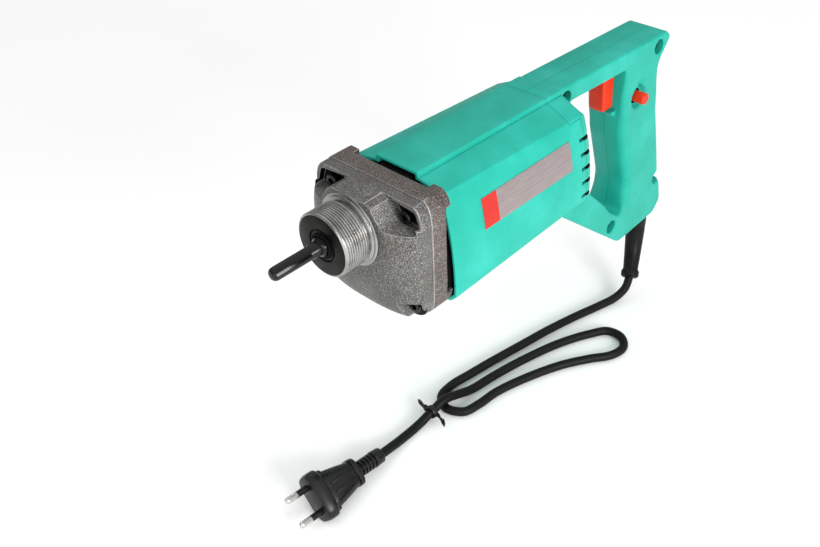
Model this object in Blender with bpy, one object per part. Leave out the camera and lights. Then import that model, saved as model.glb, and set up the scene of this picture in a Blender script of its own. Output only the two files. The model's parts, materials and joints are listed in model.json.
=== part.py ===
"""Hand-held electric drive unit of a concrete vibrator, with its mains lead.

Lengths are in millimetres inside this file and become metres in the objects' meshes.
The working frame has its origin at the centre of the threaded nose's front face, +X towards the
handle, +Z up. An empty carries that frame so that the part's own origin is the centre of the grip.
"""

import math

import bmesh
import bpy
import numpy as np
from mathutils import Matrix, Vector

MM = 0.001
GAP = 0.3

# Driving dimensions
GRIP_CENTRE = (312.0, 0.0, -60.0)
MOTOR_Z = -17.0
NOSE_RADIUS = 21.0
NOSE_LENGTH = 22.2
SPINDLE_RADIUS = 4.3
SPINDLE_TIP_X = -38.5
HEAD_FRONT_X = 22.5
HEAD_JOIN_X = 45.0
PLATE_BACK_X = 62.2
HOUSING_FRONT_X = 63.0
HOUSING_BACK_X = 199.0
HOUSING_TOP_SEAM_X = 186.0
WALL = 3.0
HANDLE_FRONT_X = HOUSING_BACK_X + GAP
HANDLE_BACK_FACE_X = 214.0
JOIN_X = HANDLE_FRONT_X + 1.3
OPENING_FRONT_X = HANDLE_BACK_FACE_X + 0.6
HANDLE_HALF_WIDTH = 17.0
HANDLE_WALL = 3.2
SPLIT_GAP = 0.15
PINION_TEETH = 9
GEAR_TEETH = 33
CENTRE_DISTANCE = -MOTOR_Z
GEAR_FRONT_X = 44.6
GEAR_WIDTH = 5.6
STACK_FRONT_X = 87.0
STACK_BACK_X = 146.0
ARMATURE_RADIUS = 18.5
STATOR_RADIUS = 33.0
COMMUTATOR_X = (158.0, 172.0)
COMMUTATOR_RADIUS = 11.0
BUTTON_CENTRE = (303.0, -20.0)
CORD_RADIUS = 3.5
FLOOR_Z = -221.0
CORD_Z = FLOOR_Z + CORD_RADIUS + 0.1
HEAD_SCREWS = [(31.0, 13.5), (-31.0, 13.5), (33.8, -47.0), (-33.8, -47.0)]
HEAD_WELL_FLOOR_X = 41.0
HEAD_TOP_Z = 23.4
PLATE_TOP_Z = 24.8
GEAR_ROOM_BACK_X = 52.4
HANDLE_SCREWS = [(325.5, 12.2), (345.4, -111.0), (283.4, -128.5), (209.5, 16.0), (207.0, -55.0)]
PLUG_FACE = (-26.5, 7.3, -205.6)
PLUG_LENGTH = 65.0
PLUG_ROLL = 40.0
PLUG_PITCH = 6.1

SEGMENTS = 24
FINE = 20
COARSE = 12


def clear_scene():
    for obj in list(bpy.data.objects):
        bpy.data.objects.remove(obj, do_unlink=True)


def make_material(name, color, roughness, metallic=0.0):
    mat = bpy.data.materials.new(name)
    mat.use_nodes = True
    shader = mat.node_tree.nodes["Principled BSDF"]
    shader.inputs["Base Color"].default_value = (*color, 1.0)
    shader.inputs["Roughness"].default_value = roughness
    shader.inputs["Metallic"].default_value = metallic
    return mat


def new_object(name, bm, material):
    """Turns a bmesh in millimetres into a placed object under the working frame."""
    bmesh.ops.recalc_face_normals(bm, faces=bm.faces)
    bmesh.ops.scale(bm, vec=(MM, MM, MM), verts=bm.verts)
    mesh = bpy.data.meshes.new(name)
    bm.to_mesh(mesh)
    bm.free()
    mesh.materials.append(material)
    obj = bpy.data.objects.new(name, mesh)
    bpy.context.collection.objects.link(obj)
    obj.parent = FRAME
    return obj


def place_origin(obj, point):
    """Moves an object's own origin to a point of the working frame without moving its shape."""
    shift = Vector(point) * MM
    obj.data.transform(Matrix.Translation(-shift))
    obj.location = shift


def fillet(points, radii, steps=4):
    """Outline with its corners rounded by arcs: each corner has its own radius."""
    out = []
    count = len(points)
    for i, radius in enumerate(radii):
        here = Vector(points[i])
        before = Vector(points[i - 1]) - here
        after = Vector(points[(i + 1) % count]) - here
        if radius <= 0:
            out.append(tuple(here))
            continue
        half = before.angle(after) / 2
        reach = min(radius / math.tan(half), before.length * 0.49, after.length * 0.49)
        start = here + before.normalized() * reach
        end = here + after.normalized() * reach
        for k in range(steps + 1):
            t = k / steps
            blend = (1 - t) ** 2 * start + 2 * t * (1 - t) * here + t**2 * end
            out.append(tuple(blend))
    return out


def loft(rings):
    """Closed body through rings of equal length, with flat caps at both ends."""
    bm = bmesh.new()
    rows = [[bm.verts.new(p) for p in ring] for ring in rings]
    for low, high in zip(rows, rows[1:]):
        for i in range(len(low)):
            j = (i + 1) % len(low)
            bm.faces.new((low[i], low[j], high[j]))
            bm.faces.new((low[i], high[j], high[i]))
    bm.faces.new(list(reversed(rows[0])))
    bm.faces.new(rows[-1])
    return bm


def prism_y(outline, y0, y1):
    """Outline in X and Z, extruded along Y."""
    return loft([[(x, y, z) for x, z in outline] for y in (y0, y1)])


def prism_x(outline, x0, x1):
    """Outline in Y and Z, extruded along X."""
    return loft([[(x, y, z) for y, z in outline] for x in (x0, x1)])


def block(low, high):
    x0, y0, z0 = low
    x1, y1, z1 = high
    return prism_x([(y0, z0), (y1, z0), (y1, z1), (y0, z1)], x0, x1)


def circle(cy, cz, radius, count=SEGMENTS, turn=0.11):
    steps = [turn + 2 * math.pi * k / count for k in range(count)]
    return [(cy + radius * math.cos(a), cz + radius * math.sin(a)) for a in steps]


def turned_x(profile, cy=0.0, cz=0.0, count=SEGMENTS):
    """Solid of revolution about a line along X: profile is a list of (x, radius)."""
    return loft([[(x, y, z) for y, z in circle(cy, cz, r, count)] for x, r in profile])


def ring_x(x0, x1, outer, inner, cy=0.0, cz=0.0, count=SEGMENTS):
    """Plain ring about a line along X."""
    bm = bmesh.new()
    rings = [(x0, outer), (x1, outer), (x1, inner), (x0, inner)]
    rows = []
    for x, r in rings:
        rows.append([bm.verts.new((x, y, z)) for y, z in circle(cy, cz, r, count)])
    for low, high in zip(rows, rows[1:] + rows[:1]):
        for i in range(count):
            j = (i + 1) % count
            bm.faces.new((low[i], low[j], high[j], high[i]))
    return bm


def cylinder_y(x, z, radius, y0, y1, count=COARSE):
    outline = [(x + p, z + q) for p, q in circle(0, 0, radius, count)]
    return prism_y(outline, y0, y1)


def combine(obj, bm, operation):
    """Applies a Boolean with a helper solid, which is removed again."""
    helper = new_object("helper", bm, obj.data.materials[0])
    helper.hide_render = True
    helper.display_type = "WIRE"
    step = obj.modifiers.new(operation.lower(), "BOOLEAN")
    step.operation = operation
    step.solver = "EXACT"
    step.object = helper
    bpy.context.view_layer.update()
    graph = bpy.context.evaluated_depsgraph_get()
    mesh = bpy.data.meshes.new_from_object(obj.evaluated_get(graph))
    old = obj.data
    obj.modifiers.clear()
    obj.data = mesh
    bpy.data.meshes.remove(old)
    bpy.data.objects.remove(helper, do_unlink=True)


def cut(obj, bm):
    combine(obj, bm, "DIFFERENCE")


def join(obj, bm):
    combine(obj, bm, "UNION")


def superellipse(cy, cz, half_y, half_z, power, count=FINE):
    """Rounded square outline; power 2 is an ellipse, higher is squarer."""
    out = []
    for k in range(count):
        a = 2 * math.pi * (k + 0.5) / count
        c, s = math.cos(a), math.sin(a)
        y = math.copysign(abs(c) ** (2 / power), c)
        z = math.copysign(abs(s) ** (2 / power), s)
        out.append((cy + half_y * y, cz + half_z * z))
    return out


def mirrored(half):
    """Closed outline from its +Y half, listed from the top to the bottom."""
    return half + [(-y, z) for y, z in reversed(half)]


def housing_section(x, inset=0.0):
    """Section of the motor case at x: a ridge on top, sloping shoulders and bulging sides."""
    t = (x - HOUSING_FRONT_X) / (HOUSING_BACK_X - HOUSING_FRONT_X)
    top = 26.4 - 1.2 * t
    shoulder = 18.9 - 5.4 * t
    floor = -57.5 + 5.0 * t
    side = 47.0 - 1.2 * t
    half = [
        (17.6 - inset, top - inset),
        (17.9 - inset, top - 3.1 - inset),
        (36.2 - 0.7 * inset, shoulder - inset),
        (42.5 - inset, 0.0),
        (side - inset, -26.0),
        (side - inset, floor + 6.0 + 0.6 * inset),
        (side - 5.0 - inset, floor + inset),
    ]
    return mirrored(half)


def section_loft(stations, inset=0.0):
    return loft([[(x, y, z) for y, z in housing_section(x, inset)] for x in stations])


def build_motor_housing():
    stations = (HOUSING_FRONT_X, HOUSING_BACK_X)
    shell = new_object("motor_housing", section_loft(stations), TEAL)
    cavity_end = 184.0
    cut(shell, section_loft((HOUSING_FRONT_X - 1.0, cavity_end), WALL))
    cut(shell, section_loft((cavity_end + 6.0, HOUSING_BACK_X + 1.0), WALL))
    cut(shell, block((HOUSING_TOP_SEAM_X, -60, 11.5), (HOUSING_BACK_X + 2, 60, 40)))
    cut(shell, turned_x([(cavity_end - 3, 10.2), (cavity_end + 9, 10.2)], 0, MOTOR_Z))
    for side in (-1, 1):
        for low, high in ((-46.0, -34.0), (-28.0, -8.0)):
            y0, y1 = sorted((side * 18.0, side * 36.0))
            cut(shell, block((cavity_end - 3, y0, low), (cavity_end + 9, y1, high)))
    return shell


def handle_outline():
    points = [
        (JOIN_X, 24.6), (334.5, 21.3), (340.0, 16.0), (326.5, -1.0), (331.0, -30.0),
        (344.0, -85.0), (355.0, -136.0), (347.0, -146.0), (296.0, -150.0), (217.0, -85.5),
        (186.0, -59.2), (JOIN_X, -59.2),
    ]
    radii = [0, 3, 3, 12, 20, 20, 6, 8, 14, 20, 0, 0]
    return fillet(points, radii)


def opening_outline():
    points = [
        (OPENING_FRONT_X, 11.5), (283.0, 9.0), (283.0, -14.0), (286.0, -49.0),
        (300.0, -96.0), (298.0, -128.0), (251.0, -82.0), (OPENING_FRONT_X, -46.0),
    ]
    radii = [4, 2, 10, 14, 14, 12, 14, 5]
    return fillet(points, radii)


def pocket_outlines():
    """Hollows inside each handle half: grip, top bar, base and motor end."""
    grip = [(293.0, 4.0), (318.0, 4.0), (322.0, -30.0), (336.0, -96.0), (311.0, -96.0),
            (297.0, -49.0), (293.0, -16.0)]
    bar = [(222.0, 21.5), (300.0, 18.5), (300.0, 13.5), (222.0, 15.5)]
    base = [(308.0, -104.0), (335.0, -104.0), (338.0, -118.5), (348.5, -123.0),
            (349.5, -134.0), (312.0, -138.0), (304.0, -133.0)]
    return grip, bar, base


def build_handle_half(name, side):
    """One half of the clamshell; side is -1 on the left and +1 on the right."""
    inner = side * SPLIT_GAP
    outer = side * HANDLE_HALF_WIDTH
    half = new_object(name, prism_y(handle_outline(), -side * 2.0, outer), TEAL)
    cap_rings = []
    for x, inset in ((HANDLE_FRONT_X, 0.0), (206.0, 0.8), (211.0, 4.0), (HANDLE_BACK_FACE_X, 10.0)):
        ring = housing_section(min(x, HOUSING_BACK_X), inset)
        cap_rings.append([(x, y, z) for y, z in ring])
    join(half, loft(cap_rings))
    strip_stations = (HOUSING_TOP_SEAM_X + GAP, HANDLE_FRONT_X + 2)
    join(half, loft([[(x, y, z) for y, z in cap_outline(x)] for x in strip_stations]))
    low_y, high_y = sorted((-side * 60.0, inner))
    cut(half, block((150, low_y, -170), (380, high_y, 40)))
    cut(half, prism_y(opening_outline(), inner - side, outer + side * 40))
    depth = side * (HANDLE_HALF_WIDTH - HANDLE_WALL)
    for outline in pocket_outlines():
        cut(half, prism_y(outline, inner - side, depth))
    cut(half, motor_end_cavity(side))
    slot_top = 2.0
    for k in range(5):
        z = slot_top - 10.0 * k
        y0, y1 = sorted((side * 34.0, side * 60.0))
        cut(half, block((202.5, y0, z - 4.0), (207.0, y1, z)))
    return half


def cap_outline(x):
    """Top strip of the clamshell, flush with the case's ridge and shoulders."""
    t = (x - HOUSING_FRONT_X) / (HOUSING_BACK_X - HOUSING_FRONT_X)
    t = min(t, 1.0)
    top = 26.45 - 1.2 * t
    shoulder = 18.95 - 5.4 * t
    return mirrored([(17.6, top), (17.9, top - 3.1), (36.2, shoulder), (36.9, 11.8)])


def motor_end_cavity(side):
    near, far = -side * 1.0, side * 41.0
    outline = [(near, -48.0), (far, -48.0), (far, -2.0), (side * 34.0, 9.0), (near, 9.0)]
    return prism_x(outline, HANDLE_FRONT_X - 1, 207.5)


def build_handle():
    left = build_handle_half("handle_left", -1)
    right = build_handle_half("handle_right", 1)
    for half, side in ((left, -1), (right, 1)):
        for x, z in HANDLE_SCREWS:
            y0, y1 = sorted((-side, side * (HANDLE_HALF_WIDTH + 40)))
            cut(half, cylinder_y(x, z, 2.1, y0, y1))
            y0, y1 = sorted((side * 9.0, side * (HANDLE_HALF_WIDTH + 40)))
            cut(half, cylinder_y(x, z, 5.7, y0, y1, 16))
        cut(half, block((265, -7.0, -25.8), (294, 7.0, 12.1)))
        cut(half, cord_passage())
    cut(left, cylinder_y(*BUTTON_CENTRE, 5.2, -30, -8, 16))
    bx, bz = BUTTON_CENTRE
    cut(left, cylinder_y(bx, bz, 8.0, -30, -15.2, 16))
    ledge = fillet([(275.0, -27.0), (290.0, -27.0), (290.0, -31.5), (281.0, -31.5)], [1, 0, 0, 4], 2)
    for half, side in ((left, -1), (right, 1)):
        y0, y1 = sorted((side * SPLIT_GAP, side * 12.5))
        join(half, prism_y(ledge, y0, y1))


def cord_passage():
    """Way out of the base for the lead's boot."""
    boot_x, boot_y, _ = BOOT_PATH[0]
    return vertical_cylinder(boot_x, boot_y, 4.6, -152.0, -126.0)


def vertical_cylinder(x, y, radius, z0, z1, count=COARSE):
    ring = circle(x, y, radius, count)
    return loft([[(p, q, z) for p, q in ring] for z in (z0, z1)])


def build_screws():
    for k, (x, z) in enumerate(HANDLE_SCREWS, 1):
        head = cylinder_y(x, z, 4.6, -13.0, -9.3)
        screw = new_object(f"handle_screw_{k}", head, DARK_STEEL)
        join(screw, cylinder_y(x, z, 1.8, -10.0, 12.0, 8))
    for k, (y, z) in enumerate(HEAD_SCREWS, 1):
        head = turned_x([(HEAD_WELL_FLOOR_X - 5.0, 4.4), (HEAD_WELL_FLOOR_X - GAP, 4.4)], y, z, 12)
        screw = new_object(f"head_screw_{k}", head, BLACK_STEEL)
        join(screw, turned_x([(HEAD_WELL_FLOOR_X - 1.0, 2.3), (HOUSING_FRONT_X + 3.0, 2.3)], y, z, 8))


HEAD_STATIONS = [
    (HEAD_FRONT_X, 25.0, 25.0, 0.0, 2.1), (25.0, 31.0, 32.5, -4.5, 2.4), (29.0, 37.5, 39.0, -11.0, 3.0),
    (33.0, 42.0, 42.0, -15.0, 3.8), (36.0, 44.3, 42.6, -16.0, 5.0), (HEAD_JOIN_X, 45.0, 42.8, -16.0, 5.6),
]


def build_head():
    rings = []
    for x, half_y, half_z, cz, power in HEAD_STATIONS:
        rings.append([(x, y, z) for y, z in superellipse(0, cz, half_y, half_z, power, 32)])
    head = new_object("front_head", loft(rings), ALUMINIUM)
    cut(head, block((10.0, -60.0, HEAD_TOP_Z), (60.0, 60.0, 60.0)))
    for y, z in HEAD_SCREWS:
        cut(head, turned_x([(10.0, 6.6), (HEAD_WELL_FLOOR_X, 6.6)], y, z, 14))
        cut(head, turned_x([(40.0, 2.7), (56.0, 2.7)], y, z, 8))
    cut(head, turned_x([(10.0, 8.9), (44.0, 8.9)], 0, 0))
    cut(head, turned_x([(43.0, 15.3), (54.0, 15.3)], 0, 0))
    cut(head, turned_x([(43.0, 6.4), (54.0, 6.4)], 0, MOTOR_Z, 16))
    plate_outline = superellipse(0, -16.0, 44.8, 42.2, 5.5, 32)
    plate = new_object("bearing_plate", prism_x(plate_outline, HEAD_JOIN_X + GAP, PLATE_BACK_X), ALUMINIUM)
    cut(plate, block((30.0, -60.0, PLATE_TOP_Z), (70.0, 60.0, 60.0)))
    for y, z in HEAD_SCREWS:
        cut(plate, turned_x([(40.0, 2.7), (66.0, 2.7)], y, z, 8))
    cut(plate, turned_x([(40.0, 15.3), (GEAR_ROOM_BACK_X, 15.3)], 0, 0))
    cut(plate, turned_x([(40.0, 6.4), (GEAR_ROOM_BACK_X, 6.4)], 0, MOTOR_Z, 16))
    cut(plate, turned_x([(50.0, 6.0), (66.0, 6.0)], 0, 0))
    cut(plate, turned_x([(53.6, 8.3), (66.0, 8.3)], 0, 0))
    cut(plate, turned_x([(50.0, 6.4), (58.6, 6.4)], 0, MOTOR_Z, 16))
    cut(plate, turned_x([(55.6, 8.3), (66.0, 8.3)], 0, MOTOR_Z))


def build_nose():
    outer = [(0.0, NOSE_RADIUS), (16.6, NOSE_RADIUS), (17.2, 19.8), (19.6, 19.8), (20.0, 24.0), (NOSE_LENGTH, 24.0)]
    nose = new_object("threaded_nose", turned_x(outer, count=32), STEEL)
    cut(nose, turned_x([(-1.0, 6.9), (40.0, 6.9)]))
    cut(nose, ring_x(-1.0, 1.2, 11.0, 8.6))


def gear_outline(teeth, pitch_radius, module, cz=0.0, turn=0.0):
    """Outline of a spur gear with straight-flanked, slightly thinned teeth."""
    root = pitch_radius - 1.15 * module
    tip = pitch_radius + 0.8 * module
    out = []
    pitch = 2 * math.pi / teeth
    for k in range(teeth):
        centre = turn + k * pitch
        for radius, offset in ((root, -0.36), (tip, -0.11), (tip, 0.11), (root, 0.36)):
            a = centre + offset * pitch
            out.append((radius * math.cos(a), cz + radius * math.sin(a)))
    return out


def build_drive():
    module = 2 * CENTRE_DISTANCE / (PINION_TEETH + GEAR_TEETH)
    gear_radius = module * GEAR_TEETH / 2
    pinion_radius = module * PINION_TEETH / 2
    shoulder = 6.4
    profile = [
        (SPINDLE_TIP_X, 2.6), (SPINDLE_TIP_X + 0.8, 3.6), (SPINDLE_TIP_X + 2.4, SPINDLE_RADIUS),
        (-3.0, SPINDLE_RADIUS), (-2.4, shoulder), (20.0, shoulder), (20.4, 4.4), (61.2, 4.4),
    ]
    spindle = new_object("drive_spindle", turned_x(profile), BLACK_STEEL)
    place_origin(spindle, (0, 0, 0))
    outline = gear_outline(GEAR_TEETH, gear_radius, module, 0.0, -math.pi / 2)
    gear = new_object("spindle_gear", prism_x(outline, GEAR_FRONT_X, GEAR_FRONT_X + GEAR_WIDTH), STEEL)
    cut(gear, turned_x([(GEAR_FRONT_X - 1, 4.7), (GEAR_FRONT_X + 8, 4.7)]))
    place_origin(gear, (0, 0, 0))
    half_pitch = math.pi / PINION_TEETH
    teeth = gear_outline(PINION_TEETH, pinion_radius, module, MOTOR_Z, math.pi / 2 + half_pitch)
    shaft = new_object("armature_shaft", prism_x(teeth, GEAR_FRONT_X, GEAR_FRONT_X + GEAR_WIDTH + 0.6), STEEL)
    join(shaft, turned_x([(GEAR_FRONT_X + GEAR_WIDTH, 2.55), (53.0, 2.55), (53.4, 3.9), (192.0, 3.9)], 0, MOTOR_Z, 16))
    place_origin(shaft, (0, 0, MOTOR_Z))
    build_ring("spindle_front_bearing", 36.0, 43.4, 8.6, 4.7, 0.0, STEEL)
    build_ring("spindle_rear_bearing", 54.0, 61.0, 8.0, 4.7, 0.0, STEEL)
    build_ring("armature_front_bearing", 56.0, 62.0, 8.0, 4.2, MOTOR_Z, STEEL)
    build_ring("armature_rear_bearing", 184.0, 191.0, 9.9, 4.2, MOTOR_Z, STEEL)
    core = build_ring("armature_core", STACK_FRONT_X, STACK_BACK_X, ARMATURE_RADIUS, 4.2, MOTOR_Z, STEEL)
    commutator = build_ring("commutator", *COMMUTATOR_X, COMMUTATOR_RADIUS, 4.2, MOTOR_Z, COPPER)
    for piece in (core, commutator):
        place_origin(piece, (0, 0, MOTOR_Z))
    fan = build_ring("cooling_fan", 70.0, 72.0, 29.0, 4.2, MOTOR_Z, PLASTIC_BLACK)
    for k in range(9):
        blade = block((71.5, 9.0, -0.9), (78.0, 28.0, 0.9))
        bmesh.ops.rotate(blade, verts=blade.verts, matrix=Matrix.Rotation(2 * math.pi * k / 9, 3, "X"))
        bmesh.ops.translate(blade, verts=blade.verts, vec=(0, 0, MOTOR_Z))
        join(fan, blade)
    place_origin(fan, (0, 0, MOTOR_Z))


def build_ring(name, x0, x1, outer, inner, cz, material):
    return new_object(name, ring_x(x0, x1, outer, inner, 0.0, cz), material)


def build_stator():
    stator = build_ring("stator_core", STACK_FRONT_X, STACK_BACK_X, STATOR_RADIUS, 28.0, MOTOR_Z, DARK_STEEL)
    for side in (-1, 1):
        z0, z1 = sorted((MOTOR_Z + side * 20.2, MOTOR_Z + side * 29.0))
        join(stator, block((STACK_FRONT_X, -9.0, z0), (STACK_BACK_X, 9.0, z1)))
    for side, name in ((1, "field_coil_top"), (-1, "field_coil_bottom")):
        z0, z1 = sorted((MOTOR_Z + side * 20.6, MOTOR_Z + side * 23.8))
        coil = new_object(name, block((STACK_FRONT_X - 7, -13.2, z0), (STACK_BACK_X + 7, 13.2, z1)), COPPER)
        cut(coil, block((STACK_FRONT_X - 0.5, -9.3, z0 - 1), (STACK_BACK_X + 0.5, 9.3, z1 + 1)))
    baffle = new_object("air_baffle", section_loft((66.5, 68.5), WALL + 0.4), PLASTIC_BLACK)
    cut(baffle, turned_x([(60, 20.0), (75, 20.0)], 0, MOTOR_Z))
    for y, z in HEAD_SCREWS:
        cut(baffle, turned_x([(60, 2.9), (75, 2.9)], y, z, 10))
    x0, x1 = COMMUTATOR_X
    for side, hand in ((-1, "left"), (1, "right")):
        a, b = sorted((side * 14.0, side * 36.0))
        holder = new_object(f"brush_holder_{hand}", block((x0 + 1, a, MOTOR_Z - 5), (x1 - 1, b, MOTOR_Z + 5)), BRASS)
        cut(holder, block((x0 + 3.2, a - 1, MOTOR_Z - 3.4), (x1 - 3.2, b + 1, MOTOR_Z + 3.4)))
        a, b = sorted((side * (COMMUTATOR_RADIUS + GAP), side * 27.0))
        new_object(f"brush_{hand}", block((x0 + 3.5, a, MOTOR_Z - 3.1), (x1 - 3.5, b, MOTOR_Z + 3.1)), CARBON)


def build_switch():
    trigger_points = [(270.0, 10.5), (287.4, 10.5), (287.4, -24.5), (271.5, -24.5)]
    trigger = new_object("trigger", prism_y(fillet(trigger_points, [1.5, 0, 0, 2], 2), -6.5, 6.5), RED)
    place_origin(trigger, (287.4, 0, -7.0))
    new_object("switch_body", block((295.2, -8.3, -28.0), (314.0, 8.3, 2.5)), PLASTIC_BLACK)
    x, z = BUTTON_CENTRE
    button = new_object("lock_button", cylinder_y(x, z, 4.6, -23.0, -12.5, 16), RED)
    place_origin(button, (x, -17.0, z))


def side_surface_y(z, x):
    """Outer Y of the case's left side at a height and a station."""
    section = [p for p in housing_section(x) if p[0] > 0]
    for (y0, z0), (y1, z1) in zip(section, section[1:]):
        if z1 <= z <= z0:
            return -(y0 + (y1 - y0) * (z0 - z) / (z0 - z1))
    return -section[-1][0]


def build_nameplate():
    """Thin plate that follows the case's left side, 0.3 mm clear of it."""
    corners = [(93.0, -0.2), (183.0, -0.2), (183.0, -17.6), (93.0, -17.6)]
    rings = []
    for lift in (GAP, GAP + 0.6):
        rings.append([(x, side_surface_y(z, x) - lift, z) for x, z in corners])
    return new_object("nameplate", loft(rings), SILVER)


def smooth_path(points, count):
    """Evenly spaced points on a centripetal Catmull-Rom curve through the given ones."""
    pts = [np.array(p, dtype=float) for p in points]
    pts = [2 * pts[0] - pts[1]] + pts + [2 * pts[-1] - pts[-2]]
    dense = []
    for p0, p1, p2, p3 in zip(pts, pts[1:], pts[2:], pts[3:]):
        t1 = np.linalg.norm(p1 - p0) ** 0.5
        t2 = t1 + np.linalg.norm(p2 - p1) ** 0.5
        t3 = t2 + np.linalg.norm(p3 - p2) ** 0.5
        for t in np.linspace(t1, t2, 24, endpoint=False):
            a1 = (t1 - t) / t1 * p0 + t / t1 * p1
            a2 = (t2 - t) / (t2 - t1) * p1 + (t - t1) / (t2 - t1) * p2
            a3 = (t3 - t) / (t3 - t2) * p2 + (t - t2) / (t3 - t2) * p3
            b1 = (t2 - t) / t2 * a1 + t / t2 * a2
            b2 = (t3 - t) / (t3 - t1) * a2 + (t - t1) / (t3 - t1) * a3
            dense.append((t2 - t) / (t2 - t1) * b1 + (t - t1) / (t2 - t1) * b2)
    dense.append(pts[-2])
    dense = np.array(dense)
    run = np.r_[0.0, np.cumsum(np.linalg.norm(np.diff(dense, axis=0), axis=1))]
    even = np.linspace(0.0, run[-1], count)
    return np.stack([np.interp(even, run, dense[:, k]) for k in range(3)], axis=1)


# Route of the lead from the boot's end to the plug's neck, lying on the floor plane
CORD_ROUTE = [
    (325.2, -14.4, -204.2), (317.5, -16.0, -211.0), (306.0, -14.0, -216.0), (288.0, -9.0, CORD_Z),
    (264.0, -2.5, CORD_Z), (235.0, 4.0, CORD_Z), (206.0, 9.0, CORD_Z), (177.0, 14.0, CORD_Z),
    (150.0, 18.0, CORD_Z), (130.0, 20.5, CORD_Z), (116.0, 18.0, CORD_Z), (109.0, 6.5, CORD_Z),
    (115.0, -6.0, CORD_Z), (129.0, -9.5, CORD_Z), (148.0, -11.0, CORD_Z), (175.0, -18.0, CORD_Z),
    (206.0, -30.0, CORD_Z), (228.0, -43.0, CORD_Z), (243.0, -53.5, CORD_Z), (257.0, -55.5, CORD_Z),
    (267.0, -46.5, CORD_Z), (266.0, -34.0, CORD_Z), (254.0, -25.5, CORD_Z), (228.0, -13.5, CORD_Z),
    (190.0, -3.0, CORD_Z), (160.0, 2.5, CORD_Z), (138.0, 5.5, CORD_Z), (124.0, 7.0, CORD_Z + 3.8),
    (110.0, 8.6, CORD_Z + 7.4), (96.0, 9.8, CORD_Z + 3.8), (82.0, 10.2, CORD_Z + 0.3),
    (62.0, 9.6, CORD_Z + 0.2), (38.6, 7.3, -212.8),
]
TIE_POINT = 29
BOOT_PATH = [(345.5, 0.0, -127.0), (345.5, 0.0, -150.5), (348.0, -1.0, -165.0), (341.0, -5.5, -187.0),
             (326.4, -13.6, -202.4)]


def tube(name, path, radii, material, count=10):
    """Closed tube with a radius at each point of its path."""
    rings = []
    path = [Vector(p) for p in path]
    normal = Vector((0, 1, 0))
    for i, point in enumerate(path):
        ahead = path[min(i + 1, len(path) - 1)]
        behind = path[max(i - 1, 0)]
        tangent = (ahead - behind).normalized()
        normal = (normal - tangent * normal.dot(tangent)).normalized()
        binormal = tangent.cross(normal)
        ring = []
        for k in range(count):
            a = 2 * math.pi * k / count
            ring.append(tuple(point + radii[i] * (math.cos(a) * normal + math.sin(a) * binormal)))
        rings.append(ring)
    return new_object(name, loft(rings), material)


def build_cord():
    path = smooth_path(CORD_ROUTE, 78)
    curve = bpy.data.curves.new("cord_lead", "CURVE")
    curve.dimensions = "3D"
    curve.bevel_depth = CORD_RADIUS * MM
    curve.bevel_resolution = 2
    curve.use_fill_caps = True
    spline = curve.splines.new("POLY")
    spline.points.add(len(path) - 1)
    for point, place in zip(spline.points, path):
        point.co = (*(place * MM), 1.0)
    curve.materials.append(RUBBER)
    lead = bpy.data.objects.new("cord_lead", curve)
    bpy.context.collection.objects.link(lead)
    lead.parent = FRAME
    boot_path = smooth_path(BOOT_PATH, 16)
    radii = []
    for k in range(16):
        t = k / 15
        if t < 0.27:
            radii.append(4.2)
        elif t < 0.42:
            radii.append(8.2)
        elif t > 0.94:
            radii.append(8.0)
        else:
            radii.append(7.8 - 1.4 * t)
    tube("cord_boot", boot_path, radii, RUBBER, 14)
    new_object("cord_clamp", block((318.0, -8.0, -132.0), (330.0, 8.0, -127.0)), PLASTIC_BLACK)
    x, y, z = CORD_ROUTE[TIE_POINT]
    tie = new_object("cord_tie", ring_x(x - 2.5, x + 2.5, 5.2, 4.4, y, z, 12), PLASTIC_BLACK)
    join(tie, block((x - 2.0, y + 4.6, z - 0.6), (x + 2.0, y + 15.0, z + 0.6)))
    join(tie, block((x - 2.0, y - 17.0, z - 0.6), (x + 2.0, y - 4.6, z + 0.6)))


def plug_matrix():
    turn = Matrix.Rotation(math.radians(PLUG_PITCH), 4, "Y") @ Matrix.Rotation(math.radians(PLUG_ROLL), 4, "X")
    return Matrix.Translation(Vector(PLUG_FACE) * MM) @ turn


def build_plug():
    """Two-pin plug: local X runs back along the cord, local Y is the broad way."""
    stations = [
        (0.0, 17.5, 9.5, 3.5), (4.0, 18.5, 11.0, 3.5), (9.0, 18.5, 11.0, 3.5), (10.0, 15.0, 9.5, 3.0),
        (26.0, 12.5, 9.0, 3.0), (38.0, 9.0, 7.5, 3.0), (39.0, 6.0, 6.0, 2.0), (PLUG_LENGTH - 9, 5.4, 5.4, 2.0),
        (PLUG_LENGTH - 8.5, 6.6, 6.6, 2.0), (PLUG_LENGTH, 6.2, 6.2, 2.0),
    ]
    rings = [[(x, y, z) for y, z in superellipse(0, 0, a, b, p, 16)] for x, a, b, p in stations]
    body = new_object("plug_body", loft(rings), RUBBER)
    body.matrix_local = plug_matrix()
    for k, y in enumerate((9.5, -9.5), 1):
        pin = new_object(f"plug_pin_{k}", turned_x([(-19.0, 1.4), (-18.2, 2.4), (-GAP, 2.4)], y, 0, 12), STEEL)
        pin.matrix_local = plug_matrix()


clear_scene()
FRAME = bpy.data.objects.new("working_frame", None)
bpy.context.collection.objects.link(FRAME)
FRAME.location = -Vector(GRIP_CENTRE) * MM

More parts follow.
